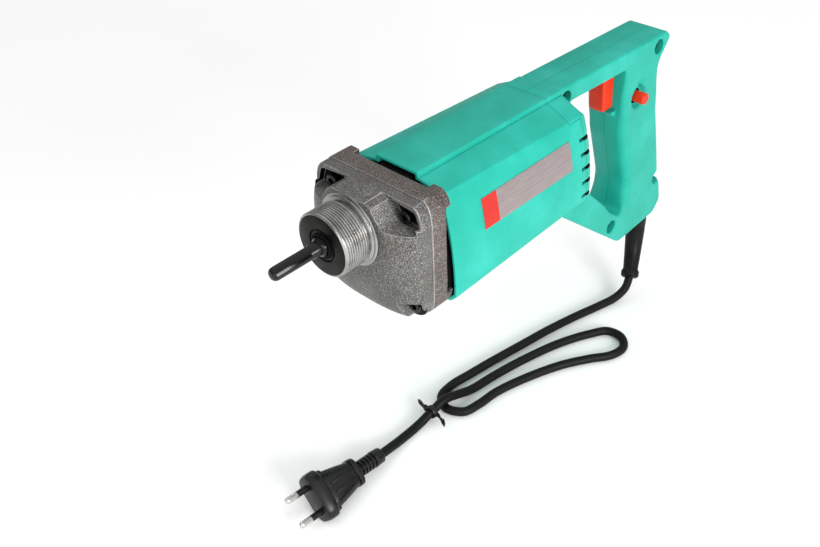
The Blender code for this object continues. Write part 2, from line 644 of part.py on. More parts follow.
TEAL = make_material("teal_nylon", (0.03, 0.55, 0.45), 0.42)
ALUMINIUM = make_material("cast_aluminium", (0.42, 0.40, 0.38), 0.45, 0.9)
STEEL = make_material("bright_steel", (0.72, 0.73, 0.74), 0.22, 1.0)
DARK_STEEL = make_material("dark_steel", (0.12, 0.12, 0.13), 0.4, 0.9)
BLACK_STEEL = make_material("black_oxide_steel", (0.02, 0.02, 0.02), 0.3, 0.8)
COPPER = make_material("copper", (0.72, 0.33, 0.18), 0.35, 1.0)
BRASS = make_material("brass", (0.75, 0.58, 0.25), 0.35, 1.0)
CARBON = make_material("carbon", (0.03, 0.03, 0.03), 0.7)
PLASTIC_BLACK = make_material("black_plastic", (0.02, 0.02, 0.02), 0.5)
RED = make_material("red_plastic", (0.85, 0.08, 0.01), 0.35)
RUBBER = make_material("black_rubber", (0.015, 0.015, 0.015), 0.5)
SILVER = make_material("silver_foil", (0.7, 0.7, 0.7), 0.35, 0.9)

build_motor_housing()
build_handle()
build_screws()
build_head()
build_nose()
build_drive()
build_stator()
build_switch()
build_nameplate()
build_cord()
build_plug()
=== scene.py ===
"""Looks of the hand-held concrete vibrator drive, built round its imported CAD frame.

Shapes are written in millimetres in the nose frame: its origin is the centre of the threaded
nose's front face, +X runs back to the handle and +Z is up. to_row() brings them into the frame.
"""

import json
import math

import bmesh
import bpy
import numpy as np
from mathutils import Matrix, Vector
from mathutils.geometry import delaunay_2d_cdt


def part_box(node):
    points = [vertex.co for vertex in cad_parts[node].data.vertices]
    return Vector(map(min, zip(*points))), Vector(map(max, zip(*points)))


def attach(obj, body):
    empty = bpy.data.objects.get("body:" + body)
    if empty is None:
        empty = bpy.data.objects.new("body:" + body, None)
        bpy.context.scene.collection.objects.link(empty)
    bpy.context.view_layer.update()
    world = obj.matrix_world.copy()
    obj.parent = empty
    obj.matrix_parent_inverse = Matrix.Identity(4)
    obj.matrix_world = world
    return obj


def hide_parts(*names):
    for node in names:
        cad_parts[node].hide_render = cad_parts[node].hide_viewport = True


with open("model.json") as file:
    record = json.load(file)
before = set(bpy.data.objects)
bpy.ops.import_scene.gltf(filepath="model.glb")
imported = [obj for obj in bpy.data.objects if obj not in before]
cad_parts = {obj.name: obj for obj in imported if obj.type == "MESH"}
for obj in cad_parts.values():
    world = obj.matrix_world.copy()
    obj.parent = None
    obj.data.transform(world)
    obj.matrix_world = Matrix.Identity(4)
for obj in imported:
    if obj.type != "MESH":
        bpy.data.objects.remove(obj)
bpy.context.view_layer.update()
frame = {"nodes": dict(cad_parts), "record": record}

MM = 0.001
NOSE_LOW, NOSE_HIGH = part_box("threaded_nose")
ORIGIN = Vector((NOSE_LOW.x, (NOSE_LOW.y + NOSE_HIGH.y) / 2, (NOSE_LOW.z + NOSE_HIGH.z) / 2))
TO_ROW = Matrix.Translation(ORIGIN) @ Matrix.Scale(MM, 4)


def to_row(x, y, z):
    return TO_ROW @ Vector((x, y, z))


# ---------------------------------------------------------------- materials

def grey(level):
    return (level, level, level)


def fill_ramp(node, stops):
    """Gives a colour ramp node its stops, each a place and a colour."""
    bands = node.color_ramp.elements
    while len(bands) < len(stops):
        bands.new(0.5)
    for band, (place, color) in zip(bands, stops):
        band.position = place
        band.color = (*color, 1.0)


class Look:
    """A node material under construction: one Principled shader with procedural inputs."""

    def __init__(self, name, color, roughness, metallic=0.0, sheen=0.5):
        self.mat = bpy.data.materials.new(name)
        self.mat.use_nodes = True
        self.tree = self.mat.node_tree
        self.shader = self.tree.nodes["Principled BSDF"]
        self.shader.inputs["Base Color"].default_value = (*color, 1.0)
        self.shader.inputs["Roughness"].default_value = roughness
        self.shader.inputs["Metallic"].default_value = metallic
        self.shader.inputs["Specular IOR Level"].default_value = sheen
        self.coord = self.tree.nodes.new("ShaderNodeTexCoord").outputs["Object"]
        self.normal = None

    def node(self, kind, **values):
        made = self.tree.nodes.new(kind)
        for key, value in values.items():
            if key in made.inputs:
                made.inputs[key].default_value = value
            else:
                setattr(made, key, value)
        return made

    def link(self, source, target):
        self.tree.links.new(source, target)

    def noise(self, scale, detail=3.0, roughness=0.5, stretch=None):
        made = self.node("ShaderNodeTexNoise", Scale=scale, Detail=detail, Roughness=roughness)
        source = self.coord
        if stretch:
            mapping = self.node("ShaderNodeMapping")
            mapping.inputs["Scale"].default_value = stretch
            self.link(self.coord, mapping.inputs["Vector"])
            source = mapping.outputs["Vector"]
        self.link(source, made.inputs["Vector"])
        return made.outputs["Fac"]

    def ramp(self, source, stops):
        made = self.node("ShaderNodeValToRGB")
        fill_ramp(made, stops)
        self.link(source, made.inputs["Fac"])
        return made.outputs["Color"]

    def span(self, source, low, high, new_low, new_high):
        made = self.node("ShaderNodeMapRange")
        for key, value in zip(("From Min", "From Max", "To Min", "To Max"), (low, high, new_low, new_high)):
            made.inputs[key].default_value = value
        self.link(source, made.inputs["Value"])
        return made.outputs["Result"]

    def bump(self, height, distance, strength=1.0):
        made = self.node("ShaderNodeBump", Strength=strength, Distance=distance)
        self.link(height, made.inputs["Height"])
        if self.normal is not None:
            self.link(self.normal, made.inputs["Normal"])
        self.normal = made.outputs["Normal"]
        self.link(self.normal, self.shader.inputs["Normal"])

    def color(self, source):
        self.link(source, self.shader.inputs["Base Color"])

    def roughness(self, source):
        self.link(source, self.shader.inputs["Roughness"])

    def mix(self, factor, first, second):
        made = self.node("ShaderNodeMix", data_type="RGBA")
        self.link(factor, made.inputs[0])
        for socket, value in ((made.inputs[6], first), (made.inputs[7], second)):
            if isinstance(value, tuple):
                socket.default_value = (*value, 1.0)
            else:
                self.link(value, socket)
        return made.outputs[2]

    def edges(self):
        """1 where the surface turns outwards at an edge, and 0 elsewhere: the mask for painted edge
        highlights.
        """
        point = self.node("ShaderNodeNewGeometry").outputs["Pointiness"]
        return self.span(point, 0.52, 0.6, 0.0, 1.0)


def grained_plastic(name, color, light, dark, roughness, grain=2600.0, depth=0.00004, highlight_share=0.35,
                    sheen=0.3):
    """Moulded nylon: fine spark grain, faint mottling and painted highlights that lighten the outward edges.
    """
    look = Look(name, color, roughness, 0.0, sheen)
    patches = look.noise(38.0, 4.0)
    tone = look.ramp(patches, [(0.35, dark), (0.52, color), (0.7, light)])
    # painted highlight: along outward edges the colour turns towards the light tone
    painted_edge_light = look.span(look.edges(), 0.0, 1.0, 0.0, highlight_share)
    look.color(look.mix(painted_edge_light, tone, light))
    rub = look.noise(260.0, 5.0, 0.6)
    look.roughness(look.span(rub, 0.3, 0.7, roughness - 0.06, roughness + 0.09))
    look.bump(look.noise(grain, 2.0, 0.6), depth, 0.6)
    return look.mat


def cast_metal(name, tint, gain=1.0, flat=0.0):
    """Blasted die casting: coarse sparkle in tone, roughness and relief."""
    look = Look(name, (0.16, 0.155, 0.145), 0.45, 0.4)
    fleck = look.noise(1250.0, 3.0, 0.8)
    tones = []
    for place, level in ((0.36, 0.02), (0.47, 0.085), (0.56, 0.17), (0.68, 0.46)):
        level = (level + (0.17 - level) * flat) * gain
        tones.append((place, tuple(level * t for t in tint)))
    fine = look.ramp(fleck, tones)
    broad = look.ramp(look.noise(60.0, 3.0), [(0.35, (0.8, 0.78, 0.75)), (0.65, (1.0, 1.0, 1.0))])
    blend = look.node("ShaderNodeMix", data_type="RGBA", blend_type="MULTIPLY")
    blend.inputs[0].default_value = 1.0
    look.link(fine, blend.inputs[6])
    look.link(broad, blend.inputs[7])
    look.color(blend.outputs[2])
    look.roughness(look.span(fleck, 0.3, 0.7, 0.36, 0.6))
    look.bump(look.noise(1100.0, 3.0, 0.7), 0.00025 * (1 - flat), 0.8)
    return look.mat


def turned_steel(name, color, roughness, metallic=1.0, tint=None, sheen=0.5):
    """Machined steel: fine tool marks that run round the part, with a few smudges."""
    look = Look(name, color, roughness, metallic, sheen)
    marks = look.noise(2400.0, 2.0, 0.5, (1.0, 0.02, 0.02))
    smudge = look.noise(70.0, 4.0, 0.6)
    second = tint or tuple(c * 0.72 for c in color)
    look.color(look.ramp(smudge, [(0.35, second), (0.62, color)]))
    look.roughness(look.span(smudge, 0.3, 0.75, roughness * 0.7, roughness * 1.6))
    look.bump(marks, 0.00001, 0.3)
    return look.mat


def rubber(name, color, roughness, grain=1500.0, sheen=0.18):
    """Matt rubber with a fine grain and a little dust in it."""
    look = Look(name, color, roughness, 0.0, sheen)
    dust = look.noise(120.0, 5.0, 0.65)
    look.color(look.ramp(dust, [(0.42, color), (0.8, tuple(c * 1.9 + 0.001 for c in color))]))
    look.roughness(look.span(dust, 0.3, 0.7, roughness - 0.07, roughness + 0.12))
    look.bump(look.noise(grain, 3.0, 0.6), 0.00005, 0.6)
    return look.mat


def simple_metal(name, color, roughness, scale=900.0):
    """Plain metal with an even, fine grain."""
    look = Look(name, color, roughness, 1.0)
    grain = look.noise(scale, 3.0, 0.6)
    look.color(look.ramp(grain, [(0.35, tuple(c * 0.75 for c in color)), (0.65, color)]))
    look.roughness(look.span(grain, 0.3, 0.7, roughness * 0.8, roughness * 1.3))
    look.bump(grain, 0.00003, 0.5)
    return look.mat


def brushed_foil(name):
    """Silver foil label stock, brushed along its length."""
    look = Look(name, (0.42, 0.36, 0.355), 0.4, 0.5)
    lines = look.noise(900.0, 3.0, 0.7, (0.06, 1.0, 6.0))
    look.color(look.ramp(lines, [(0.3, (0.19, 0.15, 0.15)), (0.7, (0.38, 0.335, 0.33))]))
    look.roughness(look.span(lines, 0.3, 0.7, 0.34, 0.5))
    look.bump(lines, 0.00002, 0.5)
    return look.mat


TEAL = grained_plastic(
    "teal_nylon", (0.012, 0.375, 0.290), (0.022, 0.42, 0.34), (0.009, 0.345, 0.262), 0.46,
    highlight_share=0.2, sheen=0.22,
)
RED = grained_plastic(
    "red_plastic", (0.74, 0.028, 0.002), (0.80, 0.05, 0.008), (0.66, 0.02, 0.002), 0.36, 3200.0, 0.00002,
)
BLACK_PLASTIC = grained_plastic("black_plastic", grey(0.004), grey(0.012), grey(0.003), 0.4)
CAST = cast_metal("cast_head", (1.0, 0.985, 0.93))
CAST_WARM = cast_metal("cast_plate", (1.0, 0.83, 0.76), 0.95)
# Painted highlight: a brighter, flatter casting look for the bevelled edges of the head and plate.
CAST_PAINTED_HIGHLIGHT = cast_metal("cast_painted_highlight", (1.0, 0.99, 0.96), 1.9, 0.6)
# Painted shade: near black for the screw well floors, the button well, the louvre walls and the head's
# pockets.
WELL_PAINTED_SHADE = grained_plastic("well_shade", grey(0.004), grey(0.02), grey(0.003), 0.6, sheen=0.1)
NOSE_STEEL = turned_steel("nose_steel", (0.40, 0.40, 0.39), 0.3, tint=(0.20, 0.195, 0.18))
FACE_STEEL = turned_steel("nose_face", (0.022, 0.022, 0.020), 0.42, tint=(0.008, 0.008, 0.007))
BLACK_STEEL = turned_steel("black_steel", grey(0.003), 0.16, metallic=0.0, tint=grey(0.002), sheen=0.3)
SCREW_STEEL = simple_metal("screw_steel", (0.03, 0.03, 0.032), 0.4)
CORD_RUBBER = rubber("cord_rubber", grey(0.003), 0.48)
PLUG_RUBBER = rubber("plug_rubber", grey(0.0025), 0.3, 2200.0, 0.35)
PIN_NICKEL = simple_metal("pin_nickel", (0.70, 0.69, 0.67), 0.16)
FOIL = brushed_foil("silver_foil")
LABEL_RED = grained_plastic(
    "label_red", (0.50, 0.015, 0.008), (0.55, 0.02, 0.011), (0.45, 0.012, 0.006), 0.38, 3000.0, 0.00001,
)
# Black for the air guide and the nose bush; it is also the painted shade of the blocks behind the louvres.
BLACK_AND_PAINTED_SHADE = grained_plastic("black_and_painted_shade", grey(0.002), grey(0.004), grey(0.002), 0.7, sheen=0.1)

CARRIED_LOOKS = {
    "gear_steel": simple_metal("gear_steel", (0.55, 0.56, 0.58), 0.3),
    "bearing_steel": simple_metal("bearing_steel", (0.72, 0.73, 0.75), 0.15, 1800.0),
    "lamination_steel": simple_metal("lamination_steel", (0.22, 0.22, 0.24), 0.42, 700.0),
    "copper": simple_metal("copper", (0.72, 0.36, 0.22), 0.3),
    "winding_copper": simple_metal("winding_copper", (0.50, 0.20, 0.10), 0.35, 1500.0),
    "brass": simple_metal("brass", (0.78, 0.62, 0.30), 0.3),
    "carbon": rubber("carbon", grey(0.03), 0.65, 2500.0),
    "screw_steel": SCREW_STEEL,
    "black_steel": BLACK_STEEL,
    "black_plastic": BLACK_PLASTIC,
    "teal_plastic": TEAL,
    "red_plastic": RED,
    "cast_head": CAST,
    "nose_steel": NOSE_STEEL,
    "silver_foil": FOIL,
    "cord_rubber": CORD_RUBBER,
    "tie_plastic": BLACK_PLASTIC,
    "plug_rubber": PLUG_RUBBER,
    "pin_nickel": PIN_NICKEL,
}
NODE_SLOT = {s["node"]: s["material_slot"] for s in frame["record"]["subparts"]}
for node, obj in frame["nodes"].items():
    obj.data.materials.clear()
    obj.data.materials.append(CARRIED_LOOKS[NODE_SLOT[node]])


# ---------------------------------------------------------------- mesh tools

def mesh_from(name, bm):
    """Turns a bmesh, its normals facing outwards, into a mesh and frees it."""
    bmesh.ops.recalc_face_normals(bm, faces=bm.faces)
    mesh = bpy.data.meshes.new(name)
    bm.to_mesh(mesh)
    bm.free()
    return mesh


def add_object(name, data):
    obj = bpy.data.objects.new(name, data)
    bpy.context.scene.collection.objects.link(obj)
    return obj


def make_piece(name, bm, mats, body, nodes=(), sharp=32.0, bevel=0.0, bevel_mat=-1):
    """Finishes a bmesh in millimetres as a piece that rides on a body and replaces CAD nodes."""
    mesh = mesh_from(name, bm)
    mesh.transform(TO_ROW)
    for mat in mats if isinstance(mats, list) else [mats]:
        mesh.materials.append(mat)
    obj = add_object(name, mesh)
    if bevel:
        edge = obj.modifiers.new("edge", "BEVEL")
        edge.width = bevel * MM
        edge.segments = 2
        edge.limit_method = "ANGLE"
        edge.angle_limit = math.radians(sharp)
        edge.use_clamp_overlap = bevel_mat < 0
        edge.material = bevel_mat
        apply_modifiers(obj)
    obj.data.shade_smooth()
    obj.data.set_sharp_from_angle(angle=math.radians(sharp + 8))
    if body:
        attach(obj, body)
    if nodes:
        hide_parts(*nodes)
    return obj


def apply_modifiers(obj):
    bpy.context.view_layer.update()
    graph = bpy.context.evaluated_depsgraph_get()
    mesh = bpy.data.meshes.new_from_object(obj.evaluated_get(graph))
    old = obj.data
    obj.modifiers.clear()
    obj.data = mesh
    bpy.data.meshes.remove(old)


def carve(target, cutters):
    """Cuts each cutter out of a bmesh in millimetres and returns the new bmesh."""
    base = add_object("carve_base", mesh_from("carve_base", target))
    for bm in cutters:
        tool = add_object("carve_tool", mesh_from("carve_tool", bm))
        step = base.modifiers.new("step", "BOOLEAN")
        step.operation = "DIFFERENCE"
        step.solver = "EXACT"
        step.object = tool
        apply_modifiers(base)
        bpy.data.objects.remove(tool, do_unlink=True)
    out = bmesh.new()
    out.from_mesh(base.data)
    bpy.data.objects.remove(base, do_unlink=True)
    return out


def loft(rings, looped=False):
    """Closed body through rings of equal length: a face over each end, or the last joins the first."""
    bm = bmesh.new()
    rows = [[bm.verts.new(p) for p in ring] for ring in rings]
    for low, high in zip(rows, rows[1:] + rows[:1] if looped else rows[1:]):
        for i in range(len(low)):
            j = (i + 1) % len(low)
            bm.faces.new((low[i], low[j], high[j], high[i]))
    if not looped:
        bm.faces.new(list(reversed(rows[0])))
        bm.faces.new(rows[-1])
    return bm


def ring_at(x, outline):
    """A (y, z) outline as a ring of points at one station."""
    return [(x, y, z) for y, z in outline]


def prism_x(outline, stations):
    """Straight bar along X with a (y, z) outline."""
    return loft([ring_at(x, outline) for x in stations])


def prism_y(outline, stations):
    """Straight bar along Y with an (x, z) outline."""
    return loft([[(x, y, z) for x, z in outline] for y in stations])


def looped_loft(rings):
    return loft(rings, looped=True)


def circle(cy, cz, radius, count=48):
    steps = [2 * math.pi * k / count for k in range(count)]
    return [(cy + radius * math.cos(a), cz + radius * math.sin(a)) for a in steps]


def turned(profile, cy=0.0, cz=0.0, count=48):
    """Solid of revolution about a line along X: profile lists (x, radius)."""
    return loft([ring_at(x, circle(cy, cz, r, count)) for x, r in profile])


def turned_y(profile, cx, cz, count=32):
    """Solid of revolution about a line along Y: profile lists (y, radius)."""
    return loft([[(cx + p, y, cz + q) for p, q in circle(0, 0, r, count)] for y, r in profile])


def block(low, high):
    (x0, y0, z0), (x1, y1, z1) = low, high
    return loft([[(x, y0, z0), (x, y1, z0), (x, y1, z1), (x, y0, z1)] for x in (x0, x1)])


def fillet(points, radii, steps=6):
    """Outline with each corner rounded by an arc of its own radius."""
    out = []
    count = len(points)
    for i, radius in enumerate(radii):
        here = Vector(points[i])
        before = Vector(points[i - 1]) - here
        after = Vector(points[(i + 1) % count]) - here
        if radius <= 0:
            out.append(tuple(here))
            continue
        half = before.angle(after) / 2
        reach = min(radius / math.tan(half), before.length * 0.49, after.length * 0.49)
        start = here + before.normalized() * reach
        end = here + after.normalized() * reach
        for k in range(steps + 1):
            t = k / steps
            out.append(tuple((1 - t) ** 2 * start + 2 * t * (1 - t) * here + t * t * end))
    return out


def superellipse(cy, cz, half_y, half_z, power, count=64):
    out = []
    for k in range(count):
        a = 2 * math.pi * (k + 0.5) / count
        c, s = math.cos(a), math.sin(a)
        y = math.copysign(abs(c) ** (2 / power), c)
        z = math.copysign(abs(s) ** (2 / power), s)
        out.append((cy + half_y * y, cz + half_z * z))
    return out


def bisect(bm, point, normal):
    """Keeps what lies behind the plane and closes the cut."""
    geom = bm.verts[:] + bm.edges[:] + bm.faces[:]
    cut = bmesh.ops.bisect_plane(bm, geom=geom, plane_co=point, plane_no=normal, clear_outer=True)
    edges = [e for e in cut["geom_cut"] if isinstance(e, bmesh.types.BMEdge)]
    bmesh.ops.holes_fill(bm, edges=edges)
    return bm


def merged(*parts):
    """One bmesh that holds several closed bodies."""
    out = bmesh.new()
    for part in parts:
        mesh = mesh_from("part", part)
        out.from_mesh(mesh)
        bpy.data.meshes.remove(mesh)
    return out


# ---------------------------------------------------------------- camera, light and floor

FLOOR_Z = -221.0
CAMERA_AT = (-295.3, -370.8, 334.9)
CAMERA_RIGHT = Vector((0.691, -0.722, -0.039))
CAMERA_AHEAD = Vector((0.559, 0.567, -0.605))
CAMERA_LENS = 43.9
SENSOR_WIDTH = 36.0
FLOOR_HALF_WIDTH = 4000.0
FLOOR_THICKNESS = 10.0


def add_camera():
    """Camera at the tool's front left, squared up from its ahead and right directions."""
    data = bpy.data.cameras.new("camera")
    data.sensor_width = SENSOR_WIDTH
    data.lens = CAMERA_LENS
    data.clip_start = 0.01
    camera = add_object("camera", data)
    back = -CAMERA_AHEAD.normalized()
    up = back.cross(CAMERA_RIGHT).normalized()
    right = up.cross(back).normalized()
    turn = Matrix((right, up, back)).transposed().to_4x4()
    camera.matrix_world = Matrix.Translation(to_row(*CAMERA_AT)) @ turn
    bpy.context.scene.camera = camera


def add_area_light(name, place, target, size, power):
    data = bpy.data.lights.new(name, "AREA")
    data.shape = "RECTANGLE"
    data.size, data.size_y = size
    data.energy = power
    light = add_object(name, data)
    light.location = to_row(*place)
    aim = to_row(*target) - light.location
    light.rotation_euler = aim.to_track_quat("-Z", "Y").to_euler()


def add_studio():
    """Pale graded surroundings, two soft lights and a plain white floor."""
    bpy.context.scene.view_settings.view_transform = "Standard"
    world = bpy.data.worlds.new("studio")
    world.use_nodes = True
    tree = world.node_tree
    background = tree.nodes["Background"]
    place = tree.nodes.new("ShaderNodeTexCoord")
    split = tree.nodes.new("ShaderNodeSeparateXYZ")
    bands = tree.nodes.new("ShaderNodeValToRGB")
    tree.links.new(place.outputs["Generated"], split.inputs[0])
    tree.links.new(split.outputs["Z"], bands.inputs["Fac"])
    tree.links.new(bands.outputs["Color"], background.inputs["Color"])
    stops = [(0.0, 0.15), (0.2, 0.12), (0.42, 0.8), (0.8, 1.08), (1.0, 1.08)]
    fill_ramp(bands, [(at, grey(level)) for at, level in stops])
    bpy.context.scene.world = world
    middle = (140.0, 0.0, -30.0)
    add_area_light("key", (-40.0, -1050.0, 230.0), middle, (0.55, 0.4), 10.5)
    add_area_light("front_fill", (-900.0, -250.0, 120.0), middle, (0.25, 0.5), 2.2)
    low = (-FLOOR_HALF_WIDTH, -FLOOR_HALF_WIDTH, FLOOR_Z - FLOOR_THICKNESS)
    bm = block(low, (FLOOR_HALF_WIDTH, FLOOR_HALF_WIDTH, FLOOR_Z))
    look = Look("floor_paint", (1.0, 1.0, 1.0), 0.8, 0.0, 0.1)
    floor = make_piece("floor", bm, look.mat, None)


# ---------------------------------------------------------------- the mains lead

CORD_RADIUS = 3.5
CORD_Z = FLOOR_Z + CORD_RADIUS + 0.1
CORD_LEVEL = [
    (288.0, -9.0), (264.0, -2.5), (235.0, 4.0), (206.0, 9.0), (177.0, 14.0), (150.0, 18.0),
    (130.0, 20.5), (116.0, 18.0), (109.0, 6.5), (115.0, -6.0), (129.0, -9.5), (148.0, -11.0),
    (175.0, -18.0), (206.0, -30.0), (228.0, -43.0), (243.0, -53.5), (257.0, -55.5), (267.0, -46.5),
    (266.0, -34.0), (254.0, -25.5), (228.0, -13.5), (190.0, -3.0), (160.0, 2.5), (138.0, 5.5),
]
CORD_ROUTE = [
    (325.2, -14.4, -204.2), (317.5, -16.0, -211.0), (306.0, -14.0, -216.0),
    *((x, y, CORD_Z) for x, y in CORD_LEVEL),
    (124.0, 7.0, CORD_Z + 3.8), (110.0, 8.6, CORD_Z + 7.4), (96.0, 9.8, CORD_Z + 3.8),
    (82.0, 10.2, CORD_Z + 0.3), (62.0, 9.6, CORD_Z + 0.2), (38.6, 7.3, -212.8),
]
TIE_POINT = 29
BOOT_PATH = [(345.5, 0.0, -127.0), (345.5, 0.0, -150.5), (348.0, -1.0, -165.0), (341.0, -5.5, -187.0),
             (324.9, -14.6, -204.2)]
PLUG_FACE = (-26.5, 7.3, -205.6)
PLUG_ROLL = 40.0
PLUG_PITCH = 6.1


def smooth_path(points, count):
    """Evenly spaced points on a centripetal Catmull-Rom curve through the given ones."""
    pts = [np.array(p, dtype=float) for p in points]
    pts = [2 * pts[0] - pts[1]] + pts + [2 * pts[-1] - pts[-2]]
    dense = []
    for p0, p1, p2, p3 in zip(pts, pts[1:], pts[2:], pts[3:]):
        t1 = np.linalg.norm(p1 - p0) ** 0.5
        t2 = t1 + np.linalg.norm(p2 - p1) ** 0.5
        t3 = t2 + np.linalg.norm(p3 - p2) ** 0.5
        for t in np.linspace(t1, t2, 24, endpoint=False):
            a1 = (t1 - t) / t1 * p0 + t / t1 * p1
            a2 = (t2 - t) / (t2 - t1) * p1 + (t - t1) / (t2 - t1) * p2
            a3 = (t3 - t) / (t3 - t2) * p2 + (t - t2) / (t3 - t2) * p3
            b1 = (t2 - t) / t2 * a1 + t / t2 * a2
            b2 = (t3 - t) / (t3 - t1) * a2 + (t - t1) / (t3 - t1) * a3
            dense.append((t2 - t) / (t2 - t1) * b1 + (t - t1) / (t2 - t1) * b2)
    dense.append(pts[-2])
    dense = np.array(dense)
    run = np.r_[0.0, np.cumsum(np.linalg.norm(np.diff(dense, axis=0), axis=1))]
    even = np.linspace(0.0, run[-1], count)
    return np.stack([np.interp(even, run, column) for column in dense.T], axis=1), float(run[-1])


def swept(path, sections):
    """Closed tube along a path: one list of (side, up) offsets for each of its points."""
    rings = []
    path = [Vector(p) for p in path]
    normal = Vector((0, 1, 0))
    for i, point in enumerate(path):
        tangent = (path[min(i + 1, len(path) - 1)] - path[max(i - 1, 0)]).normalized()
        normal = (normal - tangent * normal.dot(tangent)).normalized()
        binormal = tangent.cross(normal)
        rings.append([tuple(point + a * normal + b * binormal) for a, b in sections[i]])
    return loft(rings)


def build_cord():
    """The lead with its boot, tie and plug, each made as a piece on the case."""
    path, length = smooth_path(CORD_ROUTE, 420)
    ring = circle(0, 0, CORD_RADIUS, 20)
    lead = make_piece("mains_lead", swept(path, [ring] * len(path)), CORD_RUBBER, "case", ["cord_lead"])
    boot = build_boot()
    plug = build_plug()
    tie = build_tie()


BOOT_BULB_START = 24.5
BOOT_BULB_TOP = 30.0
BOOT_BULB_END = 40.0
BOOT_NECK_RADIUS = 4.2
BOOT_BULB_RADIUS = 9.5
BOOT_CONE_RADIUS = 8.4
BOOT_CONE_TAPER = 2.4
BOOT_RIM_WIDTH = 7.0


def boot_radius(run, length):
    """Radius of the bend relief at a distance along it."""
    left = length - run
    if run < BOOT_BULB_START:
        radius = BOOT_NECK_RADIUS
    elif run < BOOT_BULB_TOP:
        share = (run - BOOT_BULB_START) / (BOOT_BULB_TOP - BOOT_BULB_START)
        radius = BOOT_NECK_RADIUS + (BOOT_BULB_RADIUS - BOOT_NECK_RADIUS) * math.sin(share * math.pi / 2)
    elif run < BOOT_BULB_END:
        share = (run - BOOT_BULB_TOP) / (BOOT_BULB_END - BOOT_BULB_TOP)
        radius = BOOT_CONE_RADIUS + (BOOT_BULB_RADIUS - BOOT_CONE_RADIUS) * math.cos(share * math.pi / 2)
    else:
        radius = BOOT_CONE_RADIUS - BOOT_CONE_TAPER * (run - BOOT_BULB_END) / (length - BOOT_BULB_END)
    if left < BOOT_RIM_WIDTH:
        radius += 1.5 * math.sin(min(1.0, (BOOT_RIM_WIDTH - left) / 2.5) * math.pi / 2)
    if left < 1.2:
        radius -= 0.9 * (1.2 - left)
    return radius


def build_boot():
    """Tapered bend relief: a bulb at the handle, a long cone and a rolled rim at the end."""
    count = 120
    path, length = smooth_path(BOOT_PATH, count)
    sections = [circle(0, 0, boot_radius(length * k / (count - 1), length), 32) for k in range(count)]
    return make_piece("bend_relief", swept(path, sections), CORD_RUBBER, "case", ["cord_boot"], sharp=50)


def build_tie():
    """Plastic-covered wire: one turn round the lead and two flat twisted ends."""
    x, y, z = CORD_ROUTE[TIE_POINT]
    parts = [looped_loft([[(x + a, y + p, z + q) for p, q in circle(0, 0, r, 32)]
                          for a, r in ((-2.0, 4.4), (-2.2, 4.9), (0, 5.3), (2.2, 4.9), (2.0, 4.4))])]
    for side in (-1, 1):
        rows = []
        count = 22
        for k in range(count):
            t = k / (count - 1)
            reach = 4.7 + 12.0 * t
            turn = 1.1 * math.sin(t * 5.0) * side + 0.3
            wide = 2.1 - 0.5 * t + 0.5 * math.sin(9.0 * t)
            thick = 0.45
            c, s = math.cos(turn), math.sin(turn)
            drift = 3.5 * t * t
            ring = []
            for a, b in ((-wide, -thick), (wide, -thick), (wide, thick), (-wide, thick)):
                ring.append((x + drift * side + a * c - b * s, y + side * reach, z - 0.6 * t + a * s + b * c))
            rows.append(ring)
        parts.append(loft(rows))
    return make_piece("wire_tie", merged(*parts), BLACK_PLASTIC, "case", ["cord_tie"], bevel=0.25)


PLUG_FLANGE = [(0.0, 16.2, 8.6, 3.2), (0.6, 17.2, 9.6, 3.2), (3.6, 18.2, 10.8, 3.2), (8.4, 18.2, 10.8, 3.2),
               (9.4, 17.4, 10.0, 3.2)]
PLUG_WAIST = [(8.8, 14.6, 8.4, 3.6), (14.0, 14.2, 8.8, 3.6), (26.0, 11.8, 8.6, 3.4), (36.5, 9.4, 7.8, 3.2),
              (38.6, 8.8, 7.2, 3.0), (39.4, 7.6, 6.2, 2.6)]
PLUG_SHOULDER = [(35.5, 9.9, 8.4, 3.6), (36.2, 10.6, 9.0, 3.6), (38.6, 10.6, 9.0, 3.6), (39.4, 9.8, 8.4, 3.6)]
PIN_HALF_PITCH = 9.5
NECK_RIBS = 5
NECK_RIB_PITCH = 3.2


def plug_place(bm):
    """Moves a bmesh from the plug's own frame to where the plug lies."""
    pitch = Matrix.Rotation(math.radians(PLUG_PITCH), 4, "Y")
    roll = Matrix.Rotation(math.radians(PLUG_ROLL), 4, "X")
    bmesh.ops.transform(bm, matrix=Matrix.Translation(PLUG_FACE) @ pitch @ roll, verts=bm.verts)
    return bm


def rounded_body(rows):
    """Closed body through rows of (x, half width, half height, squareness)."""
    return loft([ring_at(x, superellipse(0, 0, a, b, power, 48)) for x, a, b, power in rows])


def build_plug():
    """Flat two-pin plug: face flange, waisted body with grip ears, and a ribbed neck."""
    parts = [rounded_body(rows) for rows in (PLUG_FLANGE, PLUG_WAIST, PLUG_SHOULDER)]
    for side in (-1, 1):
        ear = superellipse(side * 12.6, 0.0, 3.4, 5.6, 3.0, 24)
        parts.append(prism_x(ear, (9.0, 13.0)))
        middle = side * 3.5
        rib = [(middle - 0.7, 8.0), (middle + 0.7, 8.0), (middle + 0.6, 9.6), (middle - 0.6, 9.6)]
        parts.append(prism_x(rib, (14.0, 33.0)))
        parts.append(prism_x([(y, -z) for y, z in rib], (14.0, 33.0)))
    neck = [(39.0, 4.6)]
    for k in range(NECK_RIBS):
        x = 40.0 + NECK_RIB_PITCH * k
        neck += [(x, 4.4), (x + 0.3, 6.0), (x + 1.7, 6.0), (x + 2.0, 4.4)]
    neck += [(56.2, 4.4), (56.5, 6.2), (64.2, 5.9), (65.0, 5.2)]
    parts.append(turned(neck, count=32))
    moulding = plug_place(merged(*parts))
    body = make_piece("plug_moulding", moulding, PLUG_RUBBER, "case", ["plug_body"], bevel=0.35)
    return [body] + [build_pin(k, y) for k, y in enumerate((PIN_HALF_PITCH, -PIN_HALF_PITCH), 1)]


